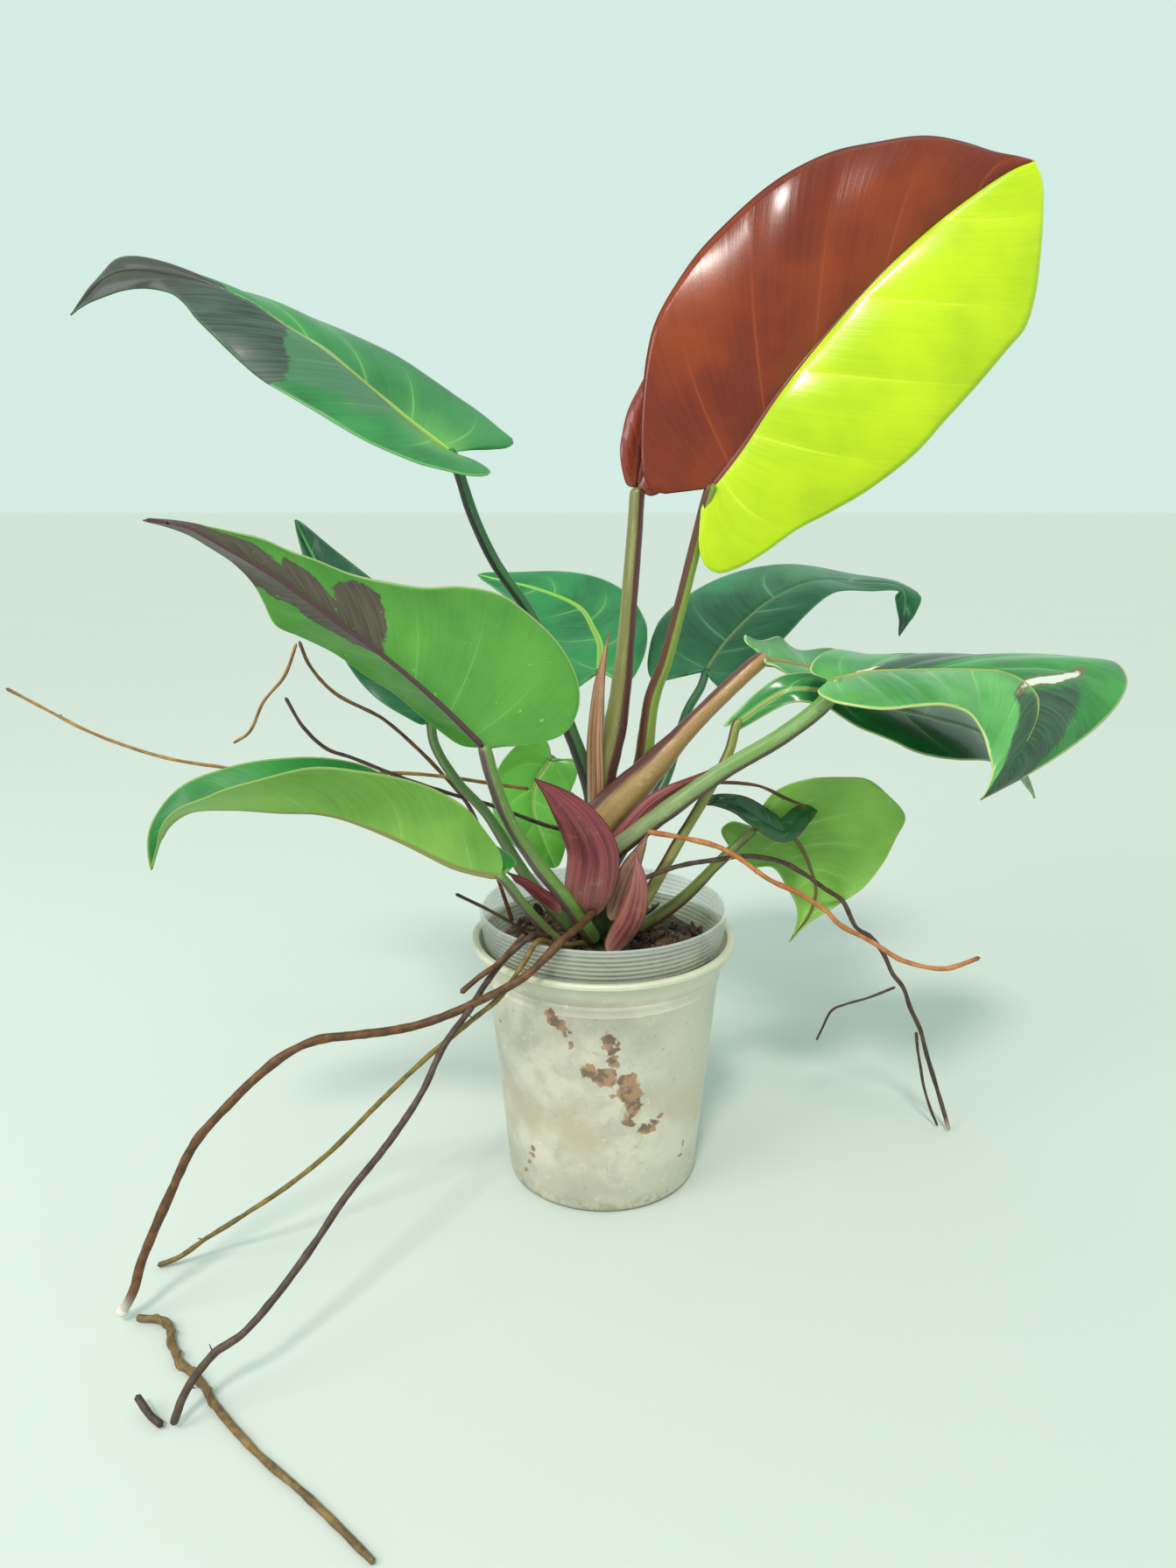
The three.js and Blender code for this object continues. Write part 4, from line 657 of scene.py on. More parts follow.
class Paint:
    """One material, with its nodes made one after another."""

    def __init__(self, name, **sockets):
        self.material = bpy.data.materials.new(name)
        self.material.use_nodes = True
        self.tree = self.material.node_tree
        self.tree.nodes.clear()
        out = self.tree.nodes.new("ShaderNodeOutputMaterial")
        self.shader = self.tree.nodes.new("ShaderNodeBsdfPrincipled")
        self.tree.links.new(self.shader.outputs["BSDF"], out.inputs["Surface"])
        for key, value in sockets.items():
            self.shader.inputs[key.replace("_", " ")].default_value = value
        self.coords = self.add("ShaderNodeTexCoord").outputs["Object"]

    def add(self, kind, **inputs):
        node = self.tree.nodes.new(kind)
        for key, value in inputs.items():
            self.feed(node.inputs[key.replace("_", " ")], value)
        return node

    def feed(self, socket, value):
        if isinstance(value, bpy.types.NodeSocket):
            self.tree.links.new(value, socket)
        else:
            socket.default_value = value

    def parts(self, name):
        node = self.add("ShaderNodeAttribute")
        node.attribute_name = name
        split = self.add("ShaderNodeSeparateXYZ", Vector=node.outputs["Vector"])
        return split.outputs["X"], split.outputs["Y"], split.outputs["Z"]

    def join(self, x, y, z=0.0):
        return self.add("ShaderNodeCombineXYZ", X=x, Y=y, Z=z).outputs["Vector"]

    def maths(self, operation, a, b=0.0):
        node = self.tree.nodes.new("ShaderNodeMath")
        node.operation = operation
        self.feed(node.inputs[0], a)
        self.feed(node.inputs[1], b)
        return node.outputs[0]

    def times(self, a, b):
        return self.maths("MULTIPLY", a, b)

    def plus(self, a, b):
        return self.maths("ADD", a, b)

    def rise(self, value, low, high):
        """0 below low, 1 above high, smooth between them. With low above high it falls."""
        node = self.add("ShaderNodeMapRange", Value=value)
        node.interpolation_type = "SMOOTHSTEP"
        flip = low > high
        node.inputs["From Min"].default_value = min(low, high)
        node.inputs["From Max"].default_value = max(low, high)
        node.inputs["To Min"].default_value = 1.0 if flip else 0.0
        node.inputs["To Max"].default_value = 0.0 if flip else 1.0
        return node.outputs["Result"]

    def mix(self, share, a, b):
        node = self.tree.nodes.new("ShaderNodeMix")
        node.data_type = "RGBA"
        self.feed(node.inputs[0], share)
        self.feed(node.inputs[6], tone(a) if isinstance(a, str) else a)
        self.feed(node.inputs[7], tone(b) if isinstance(b, str) else b)
        return node.outputs[2]

    def noise(self, scale, detail=3.0, vector=None, roughness=0.55, distortion=0.0):
        node = self.add("ShaderNodeTexNoise", Vector=vector or self.coords, Scale=scale, Detail=detail,
                        Roughness=roughness, Distortion=distortion)
        return node.outputs["Fac"]

    def pushed(self, scale, reach_mm):
        """The coordinates, pushed about by noise."""
        noise = self.add("ShaderNodeTexNoise", Vector=self.coords, Scale=scale, Detail=4.0)
        middle = self.add("ShaderNodeVectorMath", Vector=noise.outputs["Color"])
        middle.operation = "SUBTRACT"
        middle.inputs[1].default_value = (0.5, 0.5, 0.5)
        node = self.tree.nodes.new("ShaderNodeVectorMath")
        node.operation = "MULTIPLY_ADD"
        self.feed(node.inputs[0], middle.outputs["Vector"])
        node.inputs[1].default_value = [2 * reach_mm * MM] * 3
        self.feed(node.inputs[2], self.coords)
        return node.outputs["Vector"]

    def spots(self, places, coords):
        """1 at the middle of each spot, falling to 0 at its edge. Each is x, y, z and its radius."""
        found = -1.0
        for *middle, radius in places:
            node = self.tree.nodes.new("ShaderNodeVectorMath")
            node.operation = "DISTANCE"
            self.feed(node.inputs[0], coords)
            node.inputs[1].default_value = [c * MM for c in middle]
            inside = self.maths("MULTIPLY_ADD", node.outputs["Value"], -1 / (radius * MM))
            inside.node.inputs[2].default_value = 1.0
            found = self.maths("MAXIMUM", inside, found)
        return found

    def bump(self, height, strength, distance_mm):
        node = self.add("ShaderNodeBump", Height=height)
        node.inputs["Strength"].default_value = strength
        node.inputs["Distance"].default_value = distance_mm * MM
        self.tree.links.new(node.outputs["Normal"], self.shader.inputs["Normal"])

    def colour(self, value):
        self.feed(self.shader.inputs["Base Color"], value)

    def roughness(self, value):
        self.feed(self.shader.inputs["Roughness"], value)


def paint_blade(name, look):
    """The finish of a leaf: veins, ragged patches, margin, and an underside of its own."""
    paint = Paint(name, Coat_Weight=look.get("coat", 0.2), Coat_Roughness=0.16, Specular_IOR_Level=0.3,
                  Subsurface_Weight=0.1, Subsurface_Radius=(0.7, 1.0, 0.3),
                  Subsurface_Scale=0.0012, IOR=1.45)
    lean, run, under = paint.parts("leaf")
    from_rib, from_edge, vein = paint.parts("reach")
    out = paint.maths("ABSOLUTE", lean)
    right = paint.maths("GREATER_THAN", lean, 0.0)
    under = paint.maths("GREATER_THAN", under, 0.5)
    cloud = paint.noise(24.0, 3.0)
    silk = paint.noise(1.0, 4.0, paint.join(paint.times(vein, 16.0), paint.times(out, 1.4), right))
    streaks = paint.noise(1.0, 5.0, paint.join(paint.times(vein, 3.5), paint.times(out, 3.0), right), 0.7)
    wave = paint.maths("ABSOLUTE", paint.maths("SUBTRACT", paint.maths("FRACT", vein), 0.5))
    fade = paint.rise(out, 1.0, 0.25)
    width = paint.plus(paint.times(fade, -0.015), 0.489)
    veins = paint.times(paint.rise(paint.maths("SUBTRACT", wave, width), 0.0, 0.012), fade)
    soft_veins = paint.times(paint.rise(wave, 0.3, 0.5), fade)
    rib_reach = paint.plus(paint.times(run, -look.get("rib_width", 1.4)), look.get("rib_width", 1.4) + 0.3)
    rib = paint.rise(paint.maths("DIVIDE", from_rib, rib_reach), 1.1, 0.6)
    heart = paint.times(paint.rise(run, 0.4, 0.02), paint.rise(from_rib, 16.0, 0.0))

    def face(colours):
        """One side's colours: deep, bright, vein."""
        deep, bright, line = colours
        base = paint.mix(paint.rise(cloud, 0.34, 0.66), deep, bright)
        base = paint.mix(paint.times(paint.rise(silk, 0.35, 0.7), look.get("silk", 0.3)), base, bright)
        base = paint.mix(paint.times(paint.rise(silk, 0.5, 0.25), look.get("silk", 0.3)), base, deep)
        base = paint.mix(paint.times(soft_veins, look.get("halo", 0.1)), base, line)
        base = paint.mix(paint.times(heart, look.get("heart", 0.3)), base, line)
        return paint.mix(paint.times(veins, look.get("vein", 0.45)), base, line)

    upper = face(look["upper"])
    if "upper_right" in look:
        upper = paint.mix(right, upper, face(look["upper_right"]))
    lower = face(look["lower"])
    if "lower_right" in look:
        lower = paint.mix(right, lower, face(look["lower_right"]))
    specks = paint.times(paint.rise(paint.noise(330.0, 2.0), 0.70, 0.76), look.get("specks", 0.0))
    lower = paint.mix(specks, lower, look["lower"][2])
    ragged = paint.times(paint.maths("SUBTRACT", streaks, 0.5), 9.0)
    patch, soft, scar = paint.parts("marks")
    clean = 1.0
    if "soft" in look:
        share = paint.rise(paint.plus(soft, ragged), -3.0, 2.5)
        upper = paint.mix(paint.times(share, 0.8), upper, paint.mix(silk, *look["soft_colours"]))
    if "patch" in look:
        share = paint.rise(paint.plus(patch, ragged), -0.5, look.get("patch_soft", 0.5))
        dark = paint.mix(paint.rise(silk, 0.3, 0.7), *look["patch_colours"][:2])
        if "tip_colour" in look:
            dark = paint.mix(paint.times(paint.rise(run, 0.7, 0.78), 0.8), dark, look["tip_colour"])
        upper = paint.mix(share, upper, dark)
        clean = paint.maths("SUBTRACT", 1.0, paint.times(share, 0.85))
        fleck = paint.times(paint.rise(paint.noise(300.0, 3.0), 0.66, 0.74), 0.4)
        dark = paint.mix(paint.rise(silk, 0.3, 0.7), *look["patch_colours"][2:4])
        lower = paint.mix(share, lower, paint.mix(fleck, dark, look["lower"][2]))
    shown = paint.times(paint.times(rib, look.get("rib_share", 0.9)), clean)
    upper = paint.mix(shown, upper, look["rib"][0])
    lower = paint.mix(rib, lower, look["rib"][1])
    colour = paint.mix(under, upper, lower)
    margin = paint.times(paint.rise(from_edge, look.get("margin_width", 0.9), 0.3),
                         look.get("margin_share", 0.8))
    edge = look["margin"]
    if "margin_right" in look:
        edge = paint.mix(right, look["margin"], look["margin_right"])
    colour = paint.mix(paint.times(margin, clean), colour, edge)
    if "scar" in look:
        torn = paint.plus(scar, paint.times(paint.maths("SUBTRACT", streaks, 0.5), 3.0))
        upper_only = paint.maths("SUBTRACT", 1.0, under)
        for span, scar_colour in zip(((-0.9, -0.3), (0.0, 0.5)), look["scar_colours"]):
            colour = paint.mix(paint.times(paint.rise(torn, *span), upper_only), colour, scar_colour)
    paint.colour(colour)
    rough = paint.plus(paint.times(under, 0.2), look.get("gloss", 0.3))
    paint.roughness(paint.plus(rough, paint.times(silk, 0.1)))
    height = paint.plus(paint.times(silk, look.get("grain", 0.6)),
                        paint.times(paint.noise(700.0, 2.0), 0.2))
    height = paint.maths("SUBTRACT", height, paint.times(veins, 0.8))
    paint.bump(height, 0.3, 0.3)
    return paint


def paint_petiole(name, look):
    """A petiole: its colour changes from top to foot, with a maroon edge and pale streaks."""
    paint = Paint(name, Coat_Weight=0.15, Coat_Roughness=0.2, Subsurface_Weight=0.08,
                  Subsurface_Radius=(0.6, 0.9, 0.3), Subsurface_Scale=0.0012)
    facing, share, around = paint.parts("tube")
    long = paint.noise(1.0, 3.0, paint.join(paint.times(around, 9.0), paint.times(share, 4.0)))
    fine = paint.noise(1.0, 3.0, paint.join(paint.times(around, 26.0), paint.times(share, 9.0)))
    colour = paint.mix(paint.rise(share, 0.2, 0.8), look["foot"], look["top"])
    colour = paint.mix(paint.times(paint.rise(long, 0.45, 0.7), 0.5), colour, look["pale"])
    edge = paint.plus(facing, paint.times(paint.maths("SUBTRACT", long, 0.5), 0.5))
    reach = look["edge_from"]
    colour = paint.mix(paint.times(paint.rise(edge, reach, reach + 0.2), 0.9), colour, look["edge"])
    colour = paint.mix(paint.times(paint.rise(fine, 0.66, 0.74), 0.45), colour, look["pale"])
    paint.colour(colour)
    paint.roughness(paint.plus(paint.times(fine, 0.2), 0.26))
    paint.bump(paint.plus(long, paint.times(fine, 0.6)), 0.3, 0.4)
    return paint


def paint_sheath(name, look):
    """A papery sheath: streaks from foot to tip, maroon outside and tan within."""
    paint = Paint(name, Coat_Weight=0.08, Coat_Roughness=0.3, Subsurface_Weight=0.1,
                  Subsurface_Radius=(1.0, 0.5, 0.3), Subsurface_Scale=0.0012)
    lean, run, under = paint.parts("leaf")
    from_edge = paint.parts("reach")[1]
    streak = paint.noise(1.0, 4.0, paint.join(paint.times(lean, 5.0), paint.times(run, 1.4), under), 0.6)
    fibre = paint.noise(1.0, 3.0, paint.join(paint.times(lean, 22.0), paint.times(run, 2.5), under))
    outside = paint.mix(paint.rise(streak, 0.38, 0.62), look["deep"], look["bright"])
    pale = paint.times(paint.rise(paint.noise(180.0, 2.0), 0.55, 0.75), 0.15)
    outside = paint.mix(pale, outside, look["tan"])
    foot = paint.rise(paint.plus(run, paint.times(fibre, 0.2)), look["foot"] + 0.2, 0.16)
    outside = paint.mix(paint.times(foot, 0.8), outside, look["tan"])
    inside = paint.mix(paint.rise(streak, 0.35, 0.65), look["tan"], look["inside"])
    colour = paint.mix(paint.maths("GREATER_THAN", under, 0.5), inside, outside)
    colour = paint.mix(paint.times(paint.rise(from_edge, 0.8, 0.2), 0.7), colour, look["edge"])
    colour = paint.mix(paint.times(paint.rise(fibre, 0.6, 0.75), 0.3), colour, look["tan"])
    paint.colour(colour)
    paint.roughness(paint.plus(paint.times(fibre, 0.2), 0.35))
    paint.bump(paint.plus(streak, fibre), 0.35, 0.4)
    return paint


def paint_root(name, look):
    """A root: blotched bark with fine rings, and an end of another colour."""
    paint = Paint(name)
    share, around = paint.parts("tube")[1:]
    blot = paint.noise(220.0, 4.0)
    rings = paint.noise(1.0, 3.0, paint.join(paint.times(share, look["length"] * 1.1),
                                             paint.times(around, 3.0)))
    colour = paint.mix(paint.rise(blot, 0.3, 0.75), look["deep"], look["bright"])
    colour = paint.mix(paint.times(paint.rise(rings, 0.55, 0.8), 0.14), colour, look["pale"])
    colour = paint.mix(paint.rise(share, 1 - look["end_share"], 1.0), colour, look["end"])
    paint.colour(colour)
    paint.roughness(paint.plus(paint.times(rings, 0.3), 0.42))
    paint.bump(paint.plus(blot, rings), 0.6, 0.5)
    return paint


# ---- Leaf, sheath and tube meshes ----

def upper_side(leaf, share, forward):
    """The way that a blade's upper side looks, at right angles to its rib."""
    face = np.stack([between([d[k] for d in leaf["up"]], share) for k in range(3)], -1)
    return unit(face - forward * (face * forward).sum(-1, keepdims=True))


def blade_surface(leaf, sweep, run):
    """Points of a blade in millimetres, and how far each is from the rib and from the margin."""
    rib = Route(leaf["rib"])
    halves = (leaf["left"], leaf["right"])
    left = sweep < 0
    angle = np.pi * run
    climb = (1 - np.cos(angle)) / 2
    flat = []
    for half in halves:
        if "edge" in half:
            flat.append((0 * run, rib.length * run ** 1.6))
            continue
        wide = half["half"] * between(half["spread"], climb)
        across = wide * np.sin(angle) * (1 - leaf["point"] * climb ** 3)
        lobe = half["lobe"] * np.sin(3 * np.minimum(angle, np.pi / 3)).clip(0) ** 1.4
        flat.append((across, rib.length * climb ** half["skew"] - lobe))
    feet = [np.clip(along - SLANT * across, 0, rib.length) for across, along in flat]
    foot = (feet[0] + feet[1]) / 2

    def pick(a, b):
        return np.where(left, a, b)

    across, along = (pick(a, b) for a, b in zip(*flat))
    out = np.abs(sweep)
    station = foot + (along - foot) * out
    t = np.clip(station / rib.length, 0, 1)
    forward = rib.heading(t)
    face = upper_side(leaf, t, forward)
    side = np.cross(forward, face) * pick(-1, 1)[:, None]
    fold, turn = (pick(*(read(half, t) for half in halves)) for read in (fold_of, turn_of))
    reach = out * across
    bent = fold + turn * reach
    small = np.abs(turn) < 1e-6
    safe = np.where(small, 1, turn)
    sideways = np.where(small, reach * np.cos(fold), (np.sin(bent) - np.sin(fold)) / safe)
    lifted = np.where(small, reach * np.sin(fold), (np.cos(fold) - np.cos(bent)) / safe)
    points = rib.at(t)
    for half, mine in zip(halves, (left, ~left)):
        if "edge" not in half:
            continue
        margin = Route(half["edge"]).at(run ** half["pace"])
        across = np.where(mine, np.linalg.norm(margin - points, axis=-1), across)
        points = np.where(mine[:, None], points + (margin - points) * out[:, None], points)
        arch = half["crown"] * 4 * out * (1 - out) * np.sin(angle)
        lifted = np.where(mine, arch, lifted)
        sideways = np.where(mine, 0, sideways)
    back = np.minimum(station, 0)
    lift = math.radians(leaf.get("lift", 0))
    points = points + forward * (back * math.cos(lift))[:, None] + side * sideways[:, None]
    points = points + face * (lifted - back * math.sin(lift))[:, None]
    return points, face, out * across, (1 - out) * across


def fold_of(half, t):
    return np.radians(between(half.get("fold", [0, 0]), t))


def turn_of(half, t):
    return np.full_like(t, math.radians(half.get("curl", 0)) / half.get("half", 1))


def relief(leaf, sweep, run, from_rib, vein):
    """How far a blade stands off its own sheet: swells between veins, a sunken rib, and ruffles."""
    look = leaf["look"]
    out = np.abs(sweep)
    swell = look.get("swell", 0.5) * np.abs(np.sin(np.pi * vein)) ** 0.7 * np.sin(np.pi * out) ** 0.6
    groove = -look.get("groove", 0.5) * np.exp(-(from_rib / 1.4) ** 2)
    height = (swell + groove) * np.sin(np.pi * run) ** 0.4
    for size, waves, phase, side in look.get("ruffles", [(0.8, 3.2, 0.3, 0)]):
        mine = 1 if side == 0 else np.where(sweep * side > 0, 1, 0)
        wave = np.sin(2 * np.pi * (waves * run + phase)) * np.sin(np.pi * run)
        height = height + mine * size * out ** 2 * wave
    return height


def depth_in(outlines, across, along, length):
    """How many millimetres each place of a blade is inside any of the outlines. It is below 0 outside."""
    metric = np.array([METRIC_WIDTH, length])
    at = np.stack([across, along], -1) * metric
    best = np.full(len(at), -FAR)
    for outline in outlines:
        corners = np.array(outline) * metric
        away, inside = np.full(len(at), FAR), np.zeros(len(at), bool)
        for a, b in zip(corners, np.roll(corners, -1, 0)):
            span = b - a
            share = np.clip((at - a) @ span / (span @ span), 0, 1)
            away = np.minimum(away, np.linalg.norm(at - a - share[:, None] * span, axis=1))
            if a[1] != b[1]:
                level = (a[1] > at[:, 1]) != (b[1] > at[:, 1])
                inside ^= level & (at[:, 0] < a[0] + (at[:, 1] - a[1]) * span[0] / span[1])
        best = np.maximum(best, np.where(inside, away, -away))
    return best


def build_blade(name, leaf, columns, rows, thickness):
    """A leaf's blade, from a grid primitive that is laid along the midrib and given its thickness."""
    piece, x, y = grid(name, columns, rows)
    sweep = np.sign(x) * np.abs(x) ** SWEEP_POWER
    run = (y + 1) / 2
    points, face, from_rib, from_edge = blade_surface(leaf, sweep, run)
    look = leaf["look"]
    vein = look.get("veins", 7) * (run - 0.05 * sweep ** 2) + np.where(sweep < 0, 0.0, 0.35)
    points = points + face * relief(leaf, sweep, run, from_rib, vein)[:, None]
    place(piece, points)
    note(piece, "leaf", (sweep, run, 0 * run))
    note(piece, "reach", (from_rib, from_edge, vein))
    length = Route(leaf["rib"]).length
    note(piece, "marks",
         [depth_in(look.get(key, []), sweep, run, length) for key in ("patch", "soft", "scar")])
    weld(piece, closed=False)
    before = len(piece.data.vertices)
    apply(piece, "SOLIDIFY", thickness=thickness, offset=-1.0, use_even_offset=False, use_rim=True)
    numbers = noted(piece, "leaf")
    numbers[before:, 2] = 1.0
    renote(piece, "leaf", numbers)
    bpy.ops.object.shade_smooth()
    return piece


def transported(route, shares, start):
    """A sideways direction at each share of a route, carried along without twist."""
    headings = route.heading(shares)
    found = []
    normal = np.array(start, float)
    for heading in headings:
        normal = normal - heading * normal.dot(heading)
        normal = normal / max(np.linalg.norm(normal), 1e-9)
        found.append(normal)
    return np.array(found), headings


def build_tube(name, points, radii, sides, step, edge=(-1, -0.3, 0.4), channel=0.0, lumpy=0.0, seed=0.0):
    """A tapered stalk or root: a grid primitive rolled along a route, with its ends rounded."""
    route = Route(points)
    steps = int(np.clip(route.length / step, 12, 420))
    piece, x, y = grid(name, sides, steps)
    share = (y + 1) / 2
    around = np.pi * (x + 1)
    ends = [between(radii, np.array([0.0]))[0], between(radii, np.array([1.0]))[0]]
    rows = np.unique(share)
    normals, headings = transported(route, rows, TURN_START)
    row = np.searchsorted(rows, share).clip(0, len(rows) - 1)
    normal, heading = normals[row], headings[row]
    radial = normal * np.cos(around)[:, None] + np.cross(heading, normal) * np.sin(around)[:, None]
    radius = between(radii, share)
    away = np.minimum(share * route.length / ends[0], (1 - share) * route.length / ends[1])
    radius = radius * np.sqrt(1 - (1 - np.clip(away, 0, 1)) ** 2)
    facing = radial @ unit(np.array(edge, float))
    radius = radius * (1 - channel * np.clip(radial @ unit(np.array([0.2, 0.3, 1.0])), 0, 1) ** 3)
    if lumpy:
        swell = np.array([lumps.noise(Vector((seed, s * route.length / 9, 0.0))) for s in rows])
        grain = np.array([lumps.noise(Vector(p)) for p in radial * 1.3 + (share * route.length / 5)[:, None]])
        radius = radius * (1 + lumpy * (swell[row] + 0.5 * grain))
    centres = route.at(share)
    place(piece, centres + radial * radius[:, None])
    note(piece, "tube", (facing, share, around / (2 * np.pi)))
    weld(piece, closed=True)
    return piece, route.length


def merge(name, pieces):
    bpy.ops.object.select_all(action="DESELECT")
    for piece in pieces:
        piece.select_set(True)
    bpy.context.view_layer.objects.active = pieces[0]
    bpy.ops.object.join()
    pieces[0].name = pieces[0].data.name = name
    return pieces[0]


def rib_ridge(leaf, thickness):
    """The midrib that stands out under a blade, tapering to the tip."""
    rib = Route(leaf["rib"])
    shares = np.linspace(0.0, 0.93, 16)
    under = -upper_side(leaf, shares, rib.heading(shares))
    thick = leaf["widths"][1] / 2 * leaf["look"].get("ridge", 0.55)
    radii = [thick, thick * 0.75, thick * 0.5, thick * 0.32, 0.25]
    drop = thickness / MM + between(radii, shares) * 0.35
    points = rib.at(shares) + under * drop[:, None]
    piece = build_tube(leaf["name"] + "_ridge", points, radii, 8, 2.5)[0]
    share = noted(piece, "tube")[:, 1]
    note(piece, "leaf", (0 * share, share * 0.9, 0 * share + 1))
    note(piece, "reach", (0 * share, 0 * share + 20, 0 * share + 0.5))
    note(piece, "marks", (0 * share - FAR,) * 3)
    piece.data.attributes.remove(piece.data.attributes["tube"])
    return piece

# ---- Pots ----

def lathe(name, profile, steps=96):
    """Spins a profile, in millimetres, round the upright axis."""
    bpy.ops.object.select_all(action="DESELECT")
    bpy.ops.mesh.primitive_plane_add(size=1)
    piece = bpy.context.object
    bpy.ops.object.mode_set(mode="EDIT")
    bpy.ops.mesh.select_all(action="SELECT")
    bpy.ops.mesh.merge(type="CENTER")
    start = [c * MM for c in (profile[0][0], 0, profile[0][1])]
    bpy.ops.transform.translate(value=start)
    for (r0, z0), (r1, z1) in zip(profile, profile[1:]):
        bpy.ops.mesh.extrude_region_move(
            TRANSFORM_OT_translate={"value": ((r1 - r0) * MM, 0, (z1 - z0) * MM)})
    bpy.ops.mesh.select_all(action="SELECT")
    bpy.ops.mesh.spin(steps=steps, angle=2 * math.pi, center=(0, 0, 0), axis=(0, 0, 1), use_normal_flip=False)
    bpy.ops.mesh.select_all(action="SELECT")
    bpy.ops.mesh.remove_doubles(threshold=WELD)
    bpy.ops.mesh.normals_make_consistent(inside=False)
    bpy.ops.object.mode_set(mode="OBJECT")
    settle(piece, name)
    bpy.ops.object.shade_smooth_by_angle(angle=math.radians(40))
    return piece


def on_ring(radius, angle, height):
    """A place round the upright axis. The radius and the height are in millimetres."""
    return radius * MM * math.cos(angle), radius * MM * math.sin(angle), height * MM


def drill(piece, low, high):
    """Cuts the ring of drain holes through a pot's base."""
    plugs = []
    for k in range(DRAIN["count"]):
        turn = 2 * math.pi * k / DRAIN["count"]
        bpy.ops.object.select_all(action="DESELECT")
        bpy.ops.mesh.primitive_cylinder_add(
            vertices=24, radius=DRAIN["radius"] * MM, depth=(high - low) * MM,
            location=on_ring(DRAIN["ring"], turn, (high + low) / 2))
        plugs.append(bpy.context.object)
    cutter = merge("drain_cutter", plugs)
    apply(piece, "BOOLEAN", object=cutter, operation="DIFFERENCE", solver="EXACT")
    bpy.data.objects.remove(cutter)


def ridged_wall(count):
    """The clear pot's profile, with fine ridges round its rim band."""
    low, high = RIDGE_SPAN
    pitch = (high - low) / count
    band = []
    for k in range(count):
        base = low + k * pitch
        for up, stand in ((0.0, 0.0), (0.3, 0.42), (0.6, 0.42), (0.9, 0.0)):
            z = base + up * pitch
            band.append([np.interp(z, RIDGE_SPAN, RIDGE_RADII) + stand, z])
    return INNER_BODY + band + [[50.9, 117.4], [51, 117.8], [50.6, 118]] + INNER_LINING


def paint_frosted(settings):
    """Milky plastic, with the moss showing faintly through it, painted light that makes its right side paler,
    and stains and dead roots behind its wall.
    """
    paint = Paint("Frosted plastic", Alpha=settings.frost, Subsurface_Weight=0.2,
                  Subsurface_Radius=(1.0, 1.0, 1.0), Subsurface_Scale=0.003, Coat_Weight=0.15,
                  Coat_Roughness=0.3, IOR=1.46)
    place = paint.add("ShaderNodeSeparateXYZ", Vector=paint.coords).outputs
    x, z = place["X"], place["Z"]
    haze = paint.noise(30.0, 4.0)
    cloud = paint.noise(75.0, 5.0, roughness=0.65, distortion=0.4)
    dust = paint.noise(330.0, 4.0, roughness=0.7)
    ragged = paint.noise(260.0, 4.0, roughness=0.7)
    wall = paint.times(paint.rise(z, 0.003, 0.012), paint.rise(z, 0.098, 0.090))
    base = paint.mix(paint.rise(haze, 0.36, 0.62), tuple(settings.colour) + (1.0,), POT_TONES["pale"])
    # Painted light: the clear mask makes the right side (+x) paler, mixed towards the clear tone.
    clear = paint.rise(paint.plus(x, paint.times(paint.maths("SUBTRACT", cloud, 0.5), 0.03)), 0.004, 0.044)
    warm = paint.times(paint.rise(z, 0.022, 0.034), paint.rise(z, 0.060, 0.040))
    grime = paint.times(paint.rise(z, 0.009, 0.002), paint.rise(ragged, 0.45, 0.6))
    for share, strength, key in (
            (paint.times(wall, paint.rise(cloud, 0.44, 0.64)), 0.55, "grey"),
            # painted light on the right side
            (clear, 0.8, "clear"),
            (paint.times(warm, paint.rise(haze, 0.6, 0.42)), 0.4, "warm"),
            (paint.rise(z, 0.024, 0.014), 0.35, "foot"),
            (paint.rise(z, 0.098, 0.101), 0.6, "collar"),
            (paint.rise(dust, 0.60, 0.70), 0.5, "speck"),
            (paint.times(paint.rise(dust, 0.36, 0.30), wall), 0.5, "dirt"),
            (grime, 0.5, "dirt")):
        base = paint.mix(paint.times(share, strength), base, POT_TONES[key])
    stain = paint.plus(paint.spots(STAINS, paint.pushed(150.0, 5.0)),
                       paint.times(paint.maths("SUBTRACT", ragged, 0.5), 1.4))
    brown = paint.mix(paint.rise(paint.noise(240.0, 4.0), 0.42, 0.56), POT_TONES["stain"],
                      POT_TONES["stain_pale"])
    base = paint.mix(paint.times(paint.rise(stain, 0.10, 0.32), 0.85), base, brown)
    paint.colour(base)
    paint.roughness(paint.plus(paint.times(haze, 0.2), 0.3))
    paint.bump(dust, 0.12, 0.3)
    return paint


def paint_clear(settings):
    """Clear plastic with painted highlights: whitish lines on the crests of its ridged rim band and along the
    top of the band.
    """
    paint = Paint("Clear plastic", Alpha=settings.clarity, Coat_Weight=0.6, Coat_Roughness=0.1,
                  Specular_IOR_Level=0.8, IOR=1.49)
    cloud = paint.noise(60.0, 3.0)
    low, high = RIDGE_SPAN
    z = paint.add("ShaderNodeSeparateXYZ", Vector=paint.coords).outputs["Z"]
    turn = paint.times(paint.maths("SUBTRACT", z, low * MM), settings.ridges / ((high - low) * MM))
    turn = paint.maths("FRACT", turn)
    # Painted highlight: the ridge crests and the top of the band are painted white.
    crest_highlight = paint.times(paint.rise(turn, 0.1, 0.3), paint.rise(turn, 0.75, 0.55))
    crest_highlight = paint.maths("MAXIMUM", crest_highlight, paint.rise(z, 0.1166, 0.1172))
    between_crests = paint.mix(paint.rise(cloud, 0.4, 0.7), "#a2ac8c", "#c2ccb0")
    paint.colour(paint.mix(crest_highlight, between_crests, "#ffffff"))
    paint.roughness(paint.plus(paint.times(cloud, 0.15), 0.1))
    return paint


